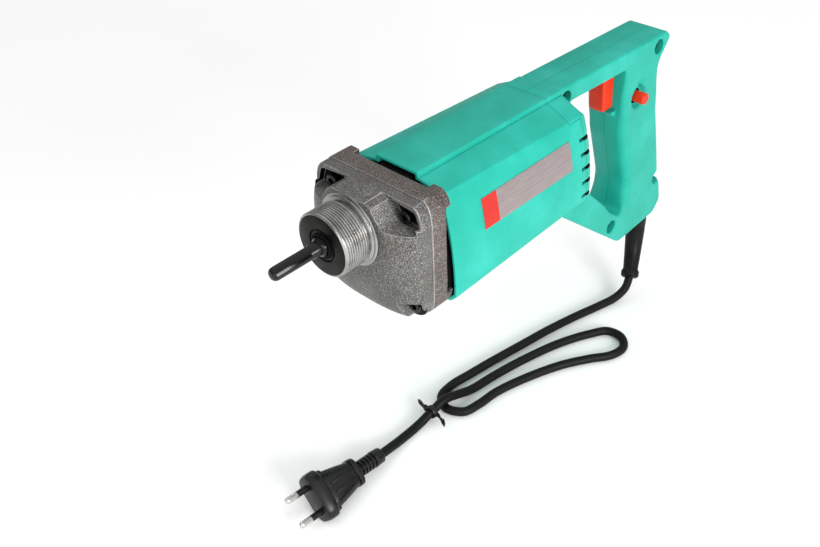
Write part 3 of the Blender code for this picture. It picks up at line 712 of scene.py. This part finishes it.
def build_pin(k, y):
    """Plug pin: a bare rounded end and an insulated sleeve next to the face."""
    end = [(-19.0, 0.6), (-18.8, 1.5), (-18.0, 2.2), (-16.8, 2.4), (-9.4, 2.4), (-9.3, 2.2), (-9.0, 2.2)]
    metal = turned(end, y, 0, 28)
    sleeve = turned([(-9.2, 2.1), (-9.1, 2.35), (-0.35, 2.35), (-0.3, 1.0)], y, 0, 28)
    for f in sleeve.faces:
        f.material_index = 1
    looks = [PIN_NICKEL, PLUG_RUBBER]
    pin = plug_place(merged(metal, sleeve))
    return make_piece(f"contact_pin_{k}", pin, looks, "case", [f"plug_pin_{k}"])


# ---------------------------------------------------------------- motor case

CASE_FRONT_X = 63.0
CASE_BACK_X = 199.0
TOP_SEAM_X = 186.2


def case_outline(x, inset=0.0):
    """Section of the case: ridge, a fine groove at its foot, sloping shoulder and bulging side."""
    t = (x - CASE_FRONT_X) / (CASE_BACK_X - CASE_FRONT_X)
    top = 26.4 - 1.2 * t
    shoulder = 18.9 - 5.4 * t
    low = -52.0 + 4.6 * t
    floor = -57.5 + 5.0 * t
    bulge = 10.9 - 1.2 * t
    half = [(17.6 - inset, top - inset), (17.7 - inset, top - 3.6 - inset), (18.7 - inset, top - 3.3 - inset)]
    radii = [1.3, 0.25, 0.3]
    steps = 9
    for k in range(steps + 1):
        u = k / steps
        y = 36.4 + bulge * (1 - (1 - u) ** 2.2)
        z = shoulder + (low - shoulder) * u
        slide = inset * (0.75 + 0.25 * min(1.0, 4 * u))
        drop = inset * max(0.0, 1 - 3 * u)
        rise = 0.55 * inset * max(0.0, 3 * u - 2)
        half.append((y - slide, z - drop + rise))
        radii.append(1.6 if k == 0 else (2.2 if k == steps else 0.0))
    half.append((47.3 - 1.2 * t - 5.5 - inset, floor + inset))
    radii.append(3.5)
    points = half + [(-y, z) for y, z in reversed(half)]
    return fillet(points, radii + radii[::-1], 4)


def case_rings(stations, inset=0.0):
    return [ring_at(x, case_outline(x, inset)) for x in stations]


LOUVRES = 5
LOUVRE_TOP_Z = -1.47
LOUVRE_PITCH = 10.4


LOUVRE_INNER_Y = 34.0
LOUVRE_FLARE = ((193.63, 1.23), (200.07, 1.51), (206.03, 1.79), (210.0, 2.3), (217.0, 4.4))


def louvre_cutters():
    """Slots through the case's rear corners; each opens out towards the back."""
    cutters = []
    for side in (-1, 1):
        near, far = side * LOUVRE_INNER_Y, side * 64.0
        for k in range(LOUVRES):
            z = LOUVRE_TOP_Z - LOUVRE_PITCH * k
            rings = []
            for x, half in LOUVRE_FLARE:
                low, high = z - half, z + half
                rings.append(ring_at(x, [(near, high), (near, low), (far, low), (far, high)]))
            cutters.append(loft(rings))
    return cutters


def build_vent_painted_shade():
    """Painted shade: dark blocks inside the case wall, so that the louvres do not look through."""
    for k, side in ((1, -1), (3, 1)):
        low, high = sorted((side * 30.0, side * 37.5))
        shade_block = block((190.0, low, -47.5), (198.6, high, 1.0))
        make_piece(f"vent_painted_shade_{k}", shade_block, BLACK_AND_PAINTED_SHADE, "case", ["motor_housing"])


def build_case():
    """Thin-walled motor case, open at the front, with the top's rear end cut away for the handle."""
    outer = list(np.linspace(CASE_FRONT_X + 0.5, CASE_BACK_X, 24))
    rings = case_rings([CASE_FRONT_X], 0.45) + case_rings(outer) + case_rings(outer[::-1], 2.2)
    rings += case_rings([CASE_FRONT_X], 1.7)
    shell = looped_loft(rings)
    bmesh.ops.triangulate(shell, faces=shell.faces)
    shell = carve(shell, [block((TOP_SEAM_X, -48, 12.2), (CASE_BACK_X + 0.6, 48, 34))])
    bmesh.ops.remove_doubles(shell, verts=shell.verts, dist=0.001)
    bmesh.ops.triangulate(shell, faces=shell.faces)
    shell = carve(shell, louvre_cutters())
    build_vent_painted_shade()
    make_piece("motor_case", shell, TEAL, "case", ["motor_housing"], sharp=26, bevel=0.25)


# ---------------------------------------------------------------- moulded handle halves

HALF_WIDTH = 17.0
SPLIT = 0.12
JOIN_X = 200.6


def handle_outline():
    points = [
        (JOIN_X, 25.0), (334.5, 21.5), (340.0, 16.4), (326.5, -1.0), (331.0, -30.0),
        (344.0, -85.0), (355.0, -136.0), (347.0, -146.0), (296.0, -150.0), (217.0, -85.5),
        (186.0, -59.6), (JOIN_X, -59.6),
    ]
    return fillet(points, [0, 3, 3, 14, 30, 30, 6, 8, 12, 24, 0, 0], 8)


def opening_outline():
    points = [
        (214.6, 11.2), (268.5, 9.4), (283.0, 9.0), (283.2, -14.0), (286.5, -49.0), (300.5, -96.0),
        (297.5, -128.5), (251.0, -82.0), (214.6, -46.0),
    ]
    return fillet(points, [4, 0, 1.5, 14, 22, 16, 8, 20, 5], 8)


def resample(outline, spacing):
    """Closed outline with points at an even spacing, as an array."""
    pts = np.array(outline + outline[:1], float)
    run = np.r_[0.0, np.cumsum(np.linalg.norm(np.diff(pts, axis=0), axis=1))]
    count = max(8, int(round(run[-1] / spacing)))
    even = np.linspace(0.0, run[-1], count, endpoint=False)
    return np.stack([np.interp(even, run, pts[:, k]) for k in range(2)], axis=1)


def offset_points(loop, distance, inward):
    """Points moved off a closed loop along its normals; inward is +1 or -1 for its own side."""
    ahead = np.roll(loop, -1, axis=0)
    behind = np.roll(loop, 1, axis=0)
    tangent = ahead - behind
    tangent /= np.linalg.norm(tangent, axis=1)[:, None]
    area = 0.5 * np.sum(loop[:, 0] * ahead[:, 1] - ahead[:, 0] * loop[:, 1])
    normal = np.stack([-tangent[:, 1], tangent[:, 0]], axis=1) * np.sign(area)
    return loop + normal * distance * inward


def loop_distance(points, loop):
    """Distance from each point to a closed loop of segments."""
    best = np.full(len(points), 1e9)
    for a, b in zip(loop, np.roll(loop, -1, axis=0)):
        d = b - a
        t = np.clip(((points - a) @ d) / max(d @ d, 1e-12), 0, 1)
        best = np.minimum(best, np.linalg.norm(points - (a + t[:, None] * d), axis=1))
    return best


def inside(points, loop):
    """Even-odd test for each point against a closed loop."""
    hit = np.zeros(len(points), bool)
    for (x0, y0), (x1, y1) in zip(loop, np.roll(loop, -1, axis=0)):
        cross = (y0 > points[:, 1]) != (y1 > points[:, 1])
        with np.errstate(divide="ignore", invalid="ignore"):
            at = (x1 - x0) * (points[:, 1] - y0) / (y1 - y0) + x0
        hit ^= cross & (points[:, 0] < at)
    return hit


def smoothstep(value, low, high):
    t = np.clip((value - low) / (high - low), 0, 1)
    return t * t * (3 - 2 * t)


HANDLE_SCREWS = [(325.5, 12.2), (345.4, -111.0), (283.4, -128.5)]
CAP_SCREWS = [(209.5, 16.0), (207.0, -55.0)]
BUTTON = (303.0, -20.0)
BUTTON_WELL = 5.9
BUTTON_WELL_Y = 9.5
HANDLE_WELL_Y = 11.4
CAP_WELL_Y = 12.0
RECESS_RADIUS = 5.7


def edge_radius(pts):
    """Radius of the moulding's outer edge: large round the grip, small on the bar and the base."""
    x, z = pts[:, 0], pts[:, 1]
    grip = smoothstep(-z, 26.0, 44.0) * (1 - smoothstep(-z, 104.0, 124.0)) * smoothstep(x, 270.0, 284.0)
    upper = smoothstep(-z, -6.0, 16.0) * (1 - smoothstep(-z, 26.0, 44.0)) * smoothstep(x, 276.0, 286.0)
    return 1.6 + 5.6 * grip + 3.0 * upper


def half_surface(pts, outer, opening, side):
    """Height of the moulding's face above the split plane at points of the handle's plane."""
    near_outer = loop_distance(pts, outer)
    near_open = loop_distance(pts, opening)
    radius = edge_radius(pts)
    height = np.full(len(pts), HALF_WIDTH)
    for near, share in ((near_open, 1.0), (near_outer, 0.72)):
        r = np.maximum(radius * share, 1.5)
        inset = np.clip(r - near, 0, None)
        height -= r - np.sqrt(np.clip(r**2 - inset**2, 0, None))
    for cx, cz in HANDLE_SCREWS:
        away = np.hypot(pts[:, 0] - cx, pts[:, 1] - cz)
        height -= 0.8 * (1 - smoothstep(away, RECESS_RADIUS, RECESS_RADIUS + 1.2))
    if side < 0:
        away = np.hypot(pts[:, 0] - BUTTON[0], pts[:, 1] - BUTTON[1])
        height -= 3.4 * (1 - smoothstep(away, 7.6, 9.6))
        notch = np.hypot(pts[:, 0] - BUTTON[0] - 1.2, (pts[:, 1] - BUTTON[1] - 9.5) / 2.0)
        height -= 1.6 * (1 - smoothstep(notch, 1.0, 2.8))
    return height


def on_face(points, outer, opening, wells):
    """True for points on the moulding's face, off the opening and the wells."""
    ok = inside(points, outer) & ~inside(points, opening)
    for well, _ in wells:
        ok &= ~inside(points, well)
    return ok


def face_points(outer, opening, wells, fixed):
    """Points that fill the moulding's face: rings along every edge and an even grid."""
    fill = []
    for distance in (0.25, 0.6, 1.1, 1.8, 2.8, 4.2, 5.8, 7.6, 9.6, 11.6):
        spread = outer if distance < 3 else outer[::2]
        fill.append(offset_points(spread, distance, 1))
        spread = opening if distance < 3 else opening[::2]
        fill.append(offset_points(spread, distance, -1))
    for well, _ in wells:
        for distance in (0.4, 1.0, 1.7, 2.5, 3.3, 4.1, 5.0, 6.0):
            fill.append(offset_points(well, distance, -1))
    gx, gz = np.meshgrid(np.arange(188.0, 356.0, 4.0), np.arange(-148.0, 26.0, 4.0))
    fill.append(np.stack([gx.ravel(), gz.ravel()], axis=1))
    chosen = {}
    for pts in fill:
        pts = pts[on_face(pts, outer, opening, wells)]
        room = np.min(np.linalg.norm(pts[:, None] - fixed[None], axis=2), axis=1)
        for p in pts[room > 0.2]:
            chosen.setdefault((int(p[0] // 0.9), int(p[1] // 0.9)), p)
    return np.array(list(chosen.values()))


def moulded_half(side):
    """D handle half as one closed skin: dense rings at its edges, an even grid between them."""
    outer = resample(handle_outline(), 2.0)
    opening = resample(opening_outline(), 2.0)
    loops = [outer, opening]
    wells = []
    for cx, cz in HANDLE_SCREWS:
        wells.append((np.array(circle(cx, cz, RECESS_RADIUS, 28)), HANDLE_WELL_Y))
    if side < 0:
        wells.append((np.array(circle(*BUTTON, BUTTON_WELL, 28)), BUTTON_WELL_Y))
    for well, _ in wells:
        loops.append(well)
    fixed = np.concatenate(loops)
    points = np.concatenate([fixed, face_points(outer, opening, wells, fixed)])
    edges = []
    start = 0
    for loop in loops:
        count = len(loop)
        edges += [(start + i, start + (i + 1) % count) for i in range(count)]
        start += count
    result = delaunay_2d_cdt([Vector(p) for p in points], edges, [], 0, 1e-6)
    flat = np.array([tuple(v) for v in result[0]])
    faces = [tuple(f) for f in result[2]]
    middle = np.array([flat[list(f)].mean(axis=0) for f in faces])
    faces = [f for f, good in zip(faces, on_face(middle, outer, opening, wells)) if good]
    height = half_surface(flat, outer, opening, side)
    bm = bmesh.new()
    used = sorted({i for f in faces for i in f})
    top = {i: bm.verts.new((flat[i][0], side * height[i], flat[i][1])) for i in used}
    for f in faces:
        bm.faces.new([top[i] for i in f])
    rims = [e for e in bm.edges if len(e.link_faces) == 1]
    depth = {top[i]: SPLIT for i in used}
    for well, floor in wells:
        centre = well.mean(axis=0)
        reach = np.linalg.norm(well[0] - centre) + 0.05
        for i in used:
            if np.linalg.norm(flat[i] - centre) < reach:
                depth[top[i]] = floor
    sunk = {}
    for e in rims:
        for v in e.verts:
            if v not in sunk:
                sunk[v] = bm.verts.new((v.co.x, side * depth[v], v.co.z))
    for e in rims:
        a, b = e.verts
        bm.faces.new((a, b, sunk[b], sunk[a]))
    bottom = [e for e in bm.edges if len(e.link_faces) == 1]
    well_rims = [e for e in bottom if abs(abs(e.verts[0].co.y) - SPLIT) > 0.01]
    bmesh.ops.holes_fill(bm, edges=well_rims)
    rim_bottom = {i: sunk[top[i]] for i in used if top[i] in sunk}
    back = {i: v for i, v in rim_bottom.items() if abs(abs(v.co.y) - SPLIT) < 0.01}
    for f in faces:
        ring = []
        for i in f:
            if i not in back:
                back[i] = bm.verts.new((flat[i][0], side * SPLIT, flat[i][1]))
            ring.append(back[i])
        bm.faces.new(ring)
    open_edges = [e for e in bm.edges if len(e.link_faces) == 1]
    bmesh.ops.holes_fill(bm, edges=open_edges)
    return bm


def in_louvre(x, y, z, normal):
    """True for the middle of a face on a louvre's own walls."""
    row = round((LOUVRE_TOP_Z - z) / LOUVRE_PITCH)
    if not 0 <= row < LOUVRES or abs(z - (LOUVRE_TOP_Z - LOUVRE_PITCH * row)) >= 2.5:
        return False
    if not (199.6 < x < 213.0 and LOUVRE_INNER_Y - 0.1 < abs(y) < 48.0):
        return False
    return abs(normal.z) > 0.7 or abs(abs(y) - LOUVRE_INNER_Y) < 0.05 or normal.x > 0.98 and x < 200.2


def in_well(x, y, z, side):
    """True for the middle of a face on a screw well's floor or inside the button's well."""
    cap = min(math.hypot(x - a, z - b) for a, b in CAP_SCREWS)
    screw = min(math.hypot(x - a, z - b) for a, b in HANDLE_SCREWS)
    button = math.hypot(x - BUTTON[0], z - BUTTON[1])
    reach = RECESS_RADIUS + 0.05
    on_cap_floor = cap < reach and CAP_WELL_Y - 0.1 < abs(y) < 14.0
    on_screw_floor = screw < reach and HANDLE_WELL_Y - 0.1 < abs(y) < 12.5
    if on_cap_floor or on_screw_floor:
        return True
    return side < 0 and button < BUTTON_WELL + 0.02 and -14.0 < y < -1.0


def shade_vents(bm, side):
    """Paints shade: marks the inside of the louvres and the floors of the wells with the dark shade material.
    """
    bm.normal_update()
    for f in bm.faces:
        x, y, z = f.calc_center_median()
        if in_louvre(x, y, z, f.normal) or in_well(x, y, z, side):
            f.material_index = 1
    return bm


def cap_skin():
    """Rounded rear end of the motor case with its louvres, before it is split in two."""
    rings = []
    corner = 11.0
    steps = 9
    for k in range(steps + 1):
        a = k / steps * math.pi / 2
        inset = corner * (1 - math.cos(a))
        x = CASE_BACK_X + 0.35 + corner * math.sin(a)
        rings.append(ring_at(x, case_outline(CASE_BACK_X, inset)))
    rings.append(ring_at(x + 3.2, case_outline(CASE_BACK_X, corner + 2.5)))
    return carve(loft(rings), louvre_cutters())


STRIP_LOW_Z = 12.6


def side_at(section, level):
    """Half width of a case section at one height."""
    for (y0, z0), (y1, z1) in zip(section, section[1:]):
        if y0 > 0 and z0 >= level > z1:
            return y0 + (y1 - y0) * (z0 - level) / (z0 - z1)
    return max(y for y, _ in section)


def top_strip():
    """Front end of the clamshell's top, flush with the case's ridge and shoulders."""
    stations = (TOP_SEAM_X + 0.35, TOP_SEAM_X + 0.7, 194.0, CASE_BACK_X + 2.0)
    rings = []
    for k, x in enumerate(stations):
        section = case_outline(x, 0.35 if k == 0 else 0.0)
        edge = side_at(section, STRIP_LOW_Z)
        cut = [(y, z) if z > STRIP_LOW_Z else (math.copysign(edge, y), STRIP_LOW_Z) for y, z in section]
        rings.append(ring_at(x, cut))
    strip = loft(rings)
    bmesh.ops.remove_doubles(strip, verts=strip.verts, dist=0.002)
    return strip


def trigger_shelf(side):
    """Ledge below the trigger, with a small chamfer at its outer end."""
    ledge = fillet([(275.5, -26.2), (291.0, -26.2), (291.0, -35.0), (284.0, -31.5)], [1.4, 0, 0, 6], 4)
    stations = ((SPLIT, 0.0), (8.6, 0.0), (9.6, 0.5))
    return loft([[(x + inset, side * y, z) for x, z in ledge] for y, inset in stations])


def build_handle():
    """Two shells, each of an end cap, a top strip, a D moulding and a shelf."""
    for side, name, node in ((-1, "left", "handle_left"), (1, "right", "handle_right")):
        plane = (0.0, side * SPLIT, 0.0)
        normal = (0.0, -side, 0.0)
        parts = [trigger_shelf(side)]
        halves = [bisect(whole, plane, normal) for whole in (cap_skin(), top_strip())]
        for skin in [*halves, moulded_half(side)]:
            wells = []
            for x, z in CAP_SCREWS:
                profile = [(side * y, RECESS_RADIUS) for y in (60.0, CAP_WELL_Y)]
                wells.append(turned_y(profile, x, z))
            parts.append(shade_vents(carve(skin, wells), side))
        looks = [TEAL, WELL_PAINTED_SHADE]
        make_piece(f"handle_shell_{name}", merged(*parts), looks, "case", [node], sharp=38)


def build_handle_screws():
    """Cross-recess screws at the bottom of the left half's wells."""
    for k, (x, z) in enumerate(HANDLE_SCREWS + CAP_SCREWS, 1):
        head = turned_y([(-9.0, 1.9), (-9.6, 4.4), (-10.6, 4.3), (-12.3, 2.6), (-12.6, 0.8)], x, z, 32)
        slots = []
        for turn in (0.4, 0.4 + math.pi / 2):
            c, s = math.cos(turn), math.sin(turn)
            corners = ((-2.4, -0.45), (2.4, -0.45), (2.4, 0.45), (-2.4, 0.45))
            ring = [(x + a * c - b * s, z + a * s + b * c) for a, b in corners]
            slots.append(prism_y(ring, (-14.0, -10.9)))
        screw = carve(head, slots)
        nodes = [f"handle_screw_{k}"]
        make_piece(f"handle_screw_head_{k}", screw, SCREW_STEEL, "case", nodes, bevel=0.12)


# ---------------------------------------------------------------- cast head, nose and spindle

HEAD_SCREWS = [(31.0, 13.5), (-31.0, 13.5), (35.6, -49.5), (-35.6, -49.5)]
DOME_STATIONS = [
    (22.5, 25.2, 25.2, 0.0, 2.05), (23.4, 30.5, 32.5, -5.5, 2.25), (26.0, 35.6, 38.2, -10.4, 2.6),
    (29.0, 39.6, 41.2, -13.6, 3.1), (32.5, 42.6, 42.7, -15.6, 3.9), (35.2, 44.2, 43.3, -16.4, 5.0),
    (36.4, 44.7, 43.5, -16.5, 5.8),
]
UPPER_POCKET = [(17.0, 22.2), (39.5, 20.2), (43.6, 7.0), (26.5, 9.4)]
UPPER_POCKET_RADII = [1.5, 4.5, 2.0, 5.0]
LOWER_NOTCH = [(30.5, -42.4), (43.7, -42.2), (43.9, -62.0), (31.5, -62.0)]
HEAD_OUTLINE = (44.9, 43.7, -16.6, 6.4)
PLATE_OUTLINE = (45.3, 43.7, -16.4, 6.6)
SEAM_X = 45.0
PLATE_RIM_X = 57.3


def head_ring(x, half_y, half_z, cz, power, inset=0.0):
    return ring_at(x, superellipse(0, cz, half_y - inset, half_z - inset, power, 96))


def ridge_cutter(side):
    """Slopes off the dome's upper corner beside the raised ridge, as far back as the ears."""
    slope = [(13.2, 60.0), (13.2, 23.2), (45.6, 9.6), (70.0, 9.6), (70.0, 60.0)]
    return prism_x([(side * y, z) for y, z in slope], (12.0, 37.4))


def build_head():
    """Domed casting with a flat top, a bore for the nose and four screw pockets."""
    rings = [head_ring(*row) for row in smooth_path(DOME_STATIONS, 34)[0]]
    rings += [head_ring(x, *HEAD_OUTLINE) for x in (38.0, 41.0, SEAM_X - 0.4)]
    rings.append(head_ring(SEAM_X - 0.1, *HEAD_OUTLINE, inset=0.5))
    cutters = [turned([(8.0, 8.9), (43.5, 8.9)])]
    facet = [(10.0, 22.7), (57.0, 24.6), (57.0, 60.0), (10.0, 60.0)]
    cutters.append(prism_y(facet, (-60.0, 60.0)))
    for side in (-1, 1):
        cutters.append(ridge_cutter(side))
        upper = fillet([(side * y, z) for y, z in UPPER_POCKET], UPPER_POCKET_RADII, 5)
        cutters.append(prism_x(upper, (20.0, 42.0)))
        lower = fillet([(side * y, z) for y, z in LOWER_NOTCH], [1.5, 1.5, 0, 0], 4)
        cutters.append(prism_x(lower, (12.0, 41.3)))
    head = carve(loft(rings), cutters)
    looks = [CAST, CAST_PAINTED_HIGHLIGHT, WELL_PAINTED_SHADE]
    # the bevel faces carry the painted edge highlight, and the pockets carry painted shade
    obj = make_piece("front_casting", head, looks, "case", ["front_head"], sharp=24, bevel=0.3, bevel_mat=1)
    shade_wells(obj)


def build_air_guide():
    """Black baffle that shows in the gap between the head and the case."""
    make_piece("air_guide", loft(case_rings((58.5, 66.5), 4.6)), BLACK_AND_PAINTED_SHADE, "case", ["air_baffle"])


def shade_wells(obj):
    """Paints shade into the pockets round the screws with the dark well material."""
    back = TO_ROW.inverted()
    pocket = np.array([(y * 1.03, z) for y, z in fillet(UPPER_POCKET, UPPER_POCKET_RADII, 5)])
    for f in obj.data.polygons:
        x, y, z = back @ f.center
        spot = np.array([[abs(y), z]])
        upper = rim = False
        if 37.6 < x < 42.3:
            inwards = f.normal.z * (z - 15.0) + f.normal.y * (y - math.copysign(31.0, y)) < 0
            upper = bool(inside(spot, pocket)[0])
            rim = loop_distance(spot, pocket)[0] < 0.9 and abs(y) < 43.7 and inwards
        lower = x < 41.6 and 30.4 < abs(y) < 43.9 and -60.5 < z < -42.0
        lower = lower and max(abs(part) for part in f.normal) > 0.95
        lower = lower and (x > 41.2 or f.normal.z < -0.9 or f.normal.y * y < 0)
        if f.material_index == 0 and (upper or rim or lower):
            f.material_index = 2


def build_plate():
    """Rear half of the head: a seam in front, air gaps behind and four lugs against the case."""
    stations = ((SEAM_X + 0.15, 0.5), (SEAM_X + 0.6, 0.0), (50.0, 0.0), (PLATE_RIM_X, 0.0), (62.5, 0.0))
    rings = [head_ring(x, *PLATE_OUTLINE, inset=inset) for x, inset in stations]
    facet = [(30.0, 24.3), (70.0, 25.0), (70.0, 60.0), (30.0, 60.0)]
    cutters = [prism_y(facet, (-60.0, 60.0))]
    cutters.append(block((PLATE_RIM_X, -31.0, 20.4), (66.0, 31.0, 40.0)))
    cutters.append(block((PLATE_RIM_X, -22.0, -90.0), (66.0, 22.0, -54.0)))
    for side in (-1, 1):
        low, high = sorted((side * 40.6, side * 60.0))
        cutters.append(block((PLATE_RIM_X + 0.1, low, -45.5), (66.0, high, 15.5)))
    cutters.append(turned([(56.0, 30.0), (64.0, 30.0)], 0, -17.0))
    plate = carve(loft(rings), cutters)
    looks = [CAST_WARM, CAST_PAINTED_HIGHLIGHT]
    # the bevel faces carry the painted edge highlight
    make_piece("bearing_housing", plate, looks, "case", ["bearing_plate"], sharp=28, bevel=0.4, bevel_mat=1)


def build_head_screws():
    """Socket-head screws, black, deep in the casting's pockets."""
    for k, (y, z) in enumerate(HEAD_SCREWS, 1):
        head = turned([(37.0, 3.7), (37.4, 4.3), (41.2, 4.4), (41.6, 4.2)], y, z, 40)
        socket = prism_x(circle(y, z, 2.2, 6), (35.0, 39.8))
        screw = carve(head, [socket])
        make_piece(f"socket_screw_{k}", screw, BLACK_STEEL, "case", [f"head_screw_{k}"], bevel=0.2)


NOSE_RADIUS = 21.0
THREAD_PITCH = 1.8
THREAD_DEPTH = 1.05
THREAD_END = 16.6


def thread_radius(x, turn):
    """Outer radius of the threaded stretch at a station and an angle, in turns."""
    valley = 0.5 + 0.5 * math.cos(2 * math.pi * (x / THREAD_PITCH - turn))
    fade = float(smoothstep(x, 0.4, 1.8) * (1 - smoothstep(x, THREAD_END - 1.2, THREAD_END)))
    return NOSE_RADIUS - THREAD_DEPTH * valley**1.4 * fade


NOSE_FRONT = [(0.9, 7.0), (0.0, 7.6), (0.0, 9.6), (1.1, 9.8), (1.1, 10.6), (0.0, 10.8), (0.0, 19.6),
              (0.25, 20.2)]
NOSE_REAR = [(17.0, 20.6), (17.3, 19.8), (19.0, 19.7), (19.3, 20.4), (19.5, 22.2), (19.9, 22.7), (20.4, 22.7),
             (20.7, 22.2), (20.9, 22.3), (21.1, 23.4), (21.5, 24.0), (22.1, 24.0), (22.2, 7.0)]
NOSE_BUSH = [(-1.2, 6.6), (-1.5, 7.4), (-1.2, 8.2), (0.3, 8.4), (3.0, 8.4), (3.0, 6.6)]
NOSE_SIDES = 144
THREAD_STEP = 0.15


def thread_ring(x):
    """Section of the threaded stretch: its radius runs round with the thread."""
    ring = []
    for k in range(NOSE_SIDES):
        a = 2 * math.pi * k / NOSE_SIDES
        r = thread_radius(x, k / NOSE_SIDES)
        ring.append((x, r * math.cos(a), r * math.sin(a)))
    return ring


def build_nose():
    """Threaded collar with a dark machined face, a flange behind and a bush round the spindle."""
    rings = [ring_at(x, circle(0, 0, r, NOSE_SIDES)) for x, r in NOSE_FRONT]
    rings += [thread_ring(float(x)) for x in np.arange(0.8, THREAD_END + 0.01, THREAD_STEP)]
    rings += [ring_at(x, circle(0, 0, r, NOSE_SIDES)) for x, r in NOSE_REAR]
    bm = looped_loft(rings)
    for f in bm.faces:
        middle = f.calc_center_median()
        f.material_index = 1 if middle.x < 1.3 and math.hypot(middle.y, middle.z) < 19.8 else 0
    bush = looped_loft([ring_at(x, circle(0, 0, r, 48)) for x, r in NOSE_BUSH])
    for f in bush.faces:
        f.material_index = 2
    looks = [NOSE_STEEL, FACE_STEEL, BLACK_AND_PAINTED_SHADE]
    make_piece("threaded_collar", merged(bm, bush), looks, "case", ["threaded_nose"], sharp=36)


def build_spindle():
    """Black spindle: domed tip, three long flats on the shank and a shoulder in the nose."""
    profile = [(-38.5, 0.8), (-38.4, 2.0), (-38.1, 2.9), (-37.5, 3.6), (-36.5, 4.1), (-35.1, 4.3),
               (-9.0, 4.3), (-8.4, 4.6), (-3.4, 4.6), (-2.8, 5.2), (-2.4, 6.2), (-1.0, 6.4), (20.0, 6.4),
               (20.4, 4.4), (61.2, 4.4)]
    rod = turned(profile, count=64)
    flats = []
    for k in range(3):
        a = 0.5 + 2 * math.pi * k / 3
        tool = block((-36.8, 3.85, -6.0), (-11.0, 9.0, 6.0))
        bmesh.ops.rotate(tool, verts=tool.verts, matrix=Matrix.Rotation(a, 3, "X"))
        flats.append(tool)
    make_piece("output_spindle", carve(rod, flats), BLACK_STEEL, "spindle", ["drive_spindle"], bevel=0.15)


# ---------------------------------------------------------------- controls and nameplate

TRIGGER_OUTLINE = [(269.8, 9.0), (288.4, 9.0), (288.4, -24.6), (272.4, -24.6), (271.6, -20.0)]
TRIGGER_EDGE = ((6.5, 1.1), (6.3, 0.5), (5.7, 0.15), (4.6, 0.0))
LOCK_PIN = [(-13.2, 3.6), (-13.3, 4.5), (-22.2, 4.5), (-23.0, 4.2), (-23.5, 3.5), (-23.6, 2.6), (-23.3, 2.4),
            (-23.2, 0.5)]


def build_controls():
    """Trigger with rounded edges, and the round lock button with a dished end."""
    outline = fillet(TRIGGER_OUTLINE, [2.2, 0, 0, 1.4, 6], 6)
    rings = []
    for y, inset in [(-y, inset) for y, inset in TRIGGER_EDGE] + list(TRIGGER_EDGE[::-1]):
        ring = []
        for x, z in outline:
            ring.append((x + (inset if x < 281 else 0.0), y, z + (inset if z < -8 else -inset)))
        rings.append(ring)
    make_piece("trigger_shoe", loft(rings), RED, "trigger", ["trigger"], sharp=40)
    make_piece("lock_pin", turned_y(LOCK_PIN, *BUTTON, 40), RED, "lock_button", ["lock_button"], sharp=40)


def build_nameplate():
    """Foil label on the left side: a plain red end block and brushed silver, with no lettering."""
    front, back, red_end = 93.0, 183.0, 107.0
    top, bottom = 3.0, -17.6
    columns = [front, red_end - 0.01, red_end + 0.01] + list(np.linspace(red_end + 4, back, 18))
    heights = np.linspace(top, bottom, 8)

    def skin(x, lift):
        points = case_outline(float(x))
        left = sorted([(z, y) for y, z in points if y < -30 and z < 20])
        zs = [p[0] for p in left]
        ys = [p[1] for p in left]
        return [(float(x), float(np.interp(z, zs, ys)) - lift, float(z)) for z in heights]

    bm = bmesh.new()
    outer = [[bm.verts.new(p) for p in skin(x, 0.42)] for x in columns]
    inner = [[bm.verts.new(p) for p in skin(x, 0.12)] for x in columns]
    for i in range(len(columns) - 1):
        mat = 1 if columns[i + 1] < red_end else 0
        for j in range(len(heights) - 1):
            for grid in (outer, inner):
                face = bm.faces.new((grid[i][j], grid[i][j + 1], grid[i + 1][j + 1], grid[i + 1][j]))
                face.material_index = mat
    rim = [e for e in bm.edges if len(e.link_faces) == 1]
    partner = {a: b for ra, rb in zip(outer, inner) for a, b in zip(ra, rb)}
    for e in rim:
        a, b = e.verts
        if a in partner and b in partner:
            bm.faces.new((a, b, partner[b], partner[a]))
    make_piece("foil_label", bm, [FOIL, LABEL_RED], "case", ["nameplate"])


add_camera()
build_cord()
add_studio()
build_case()
build_handle()
build_handle_screws()
build_head()
build_plate()
build_air_guide()
build_head_screws()
build_nose()
build_spindle()
build_controls()
build_nameplate()
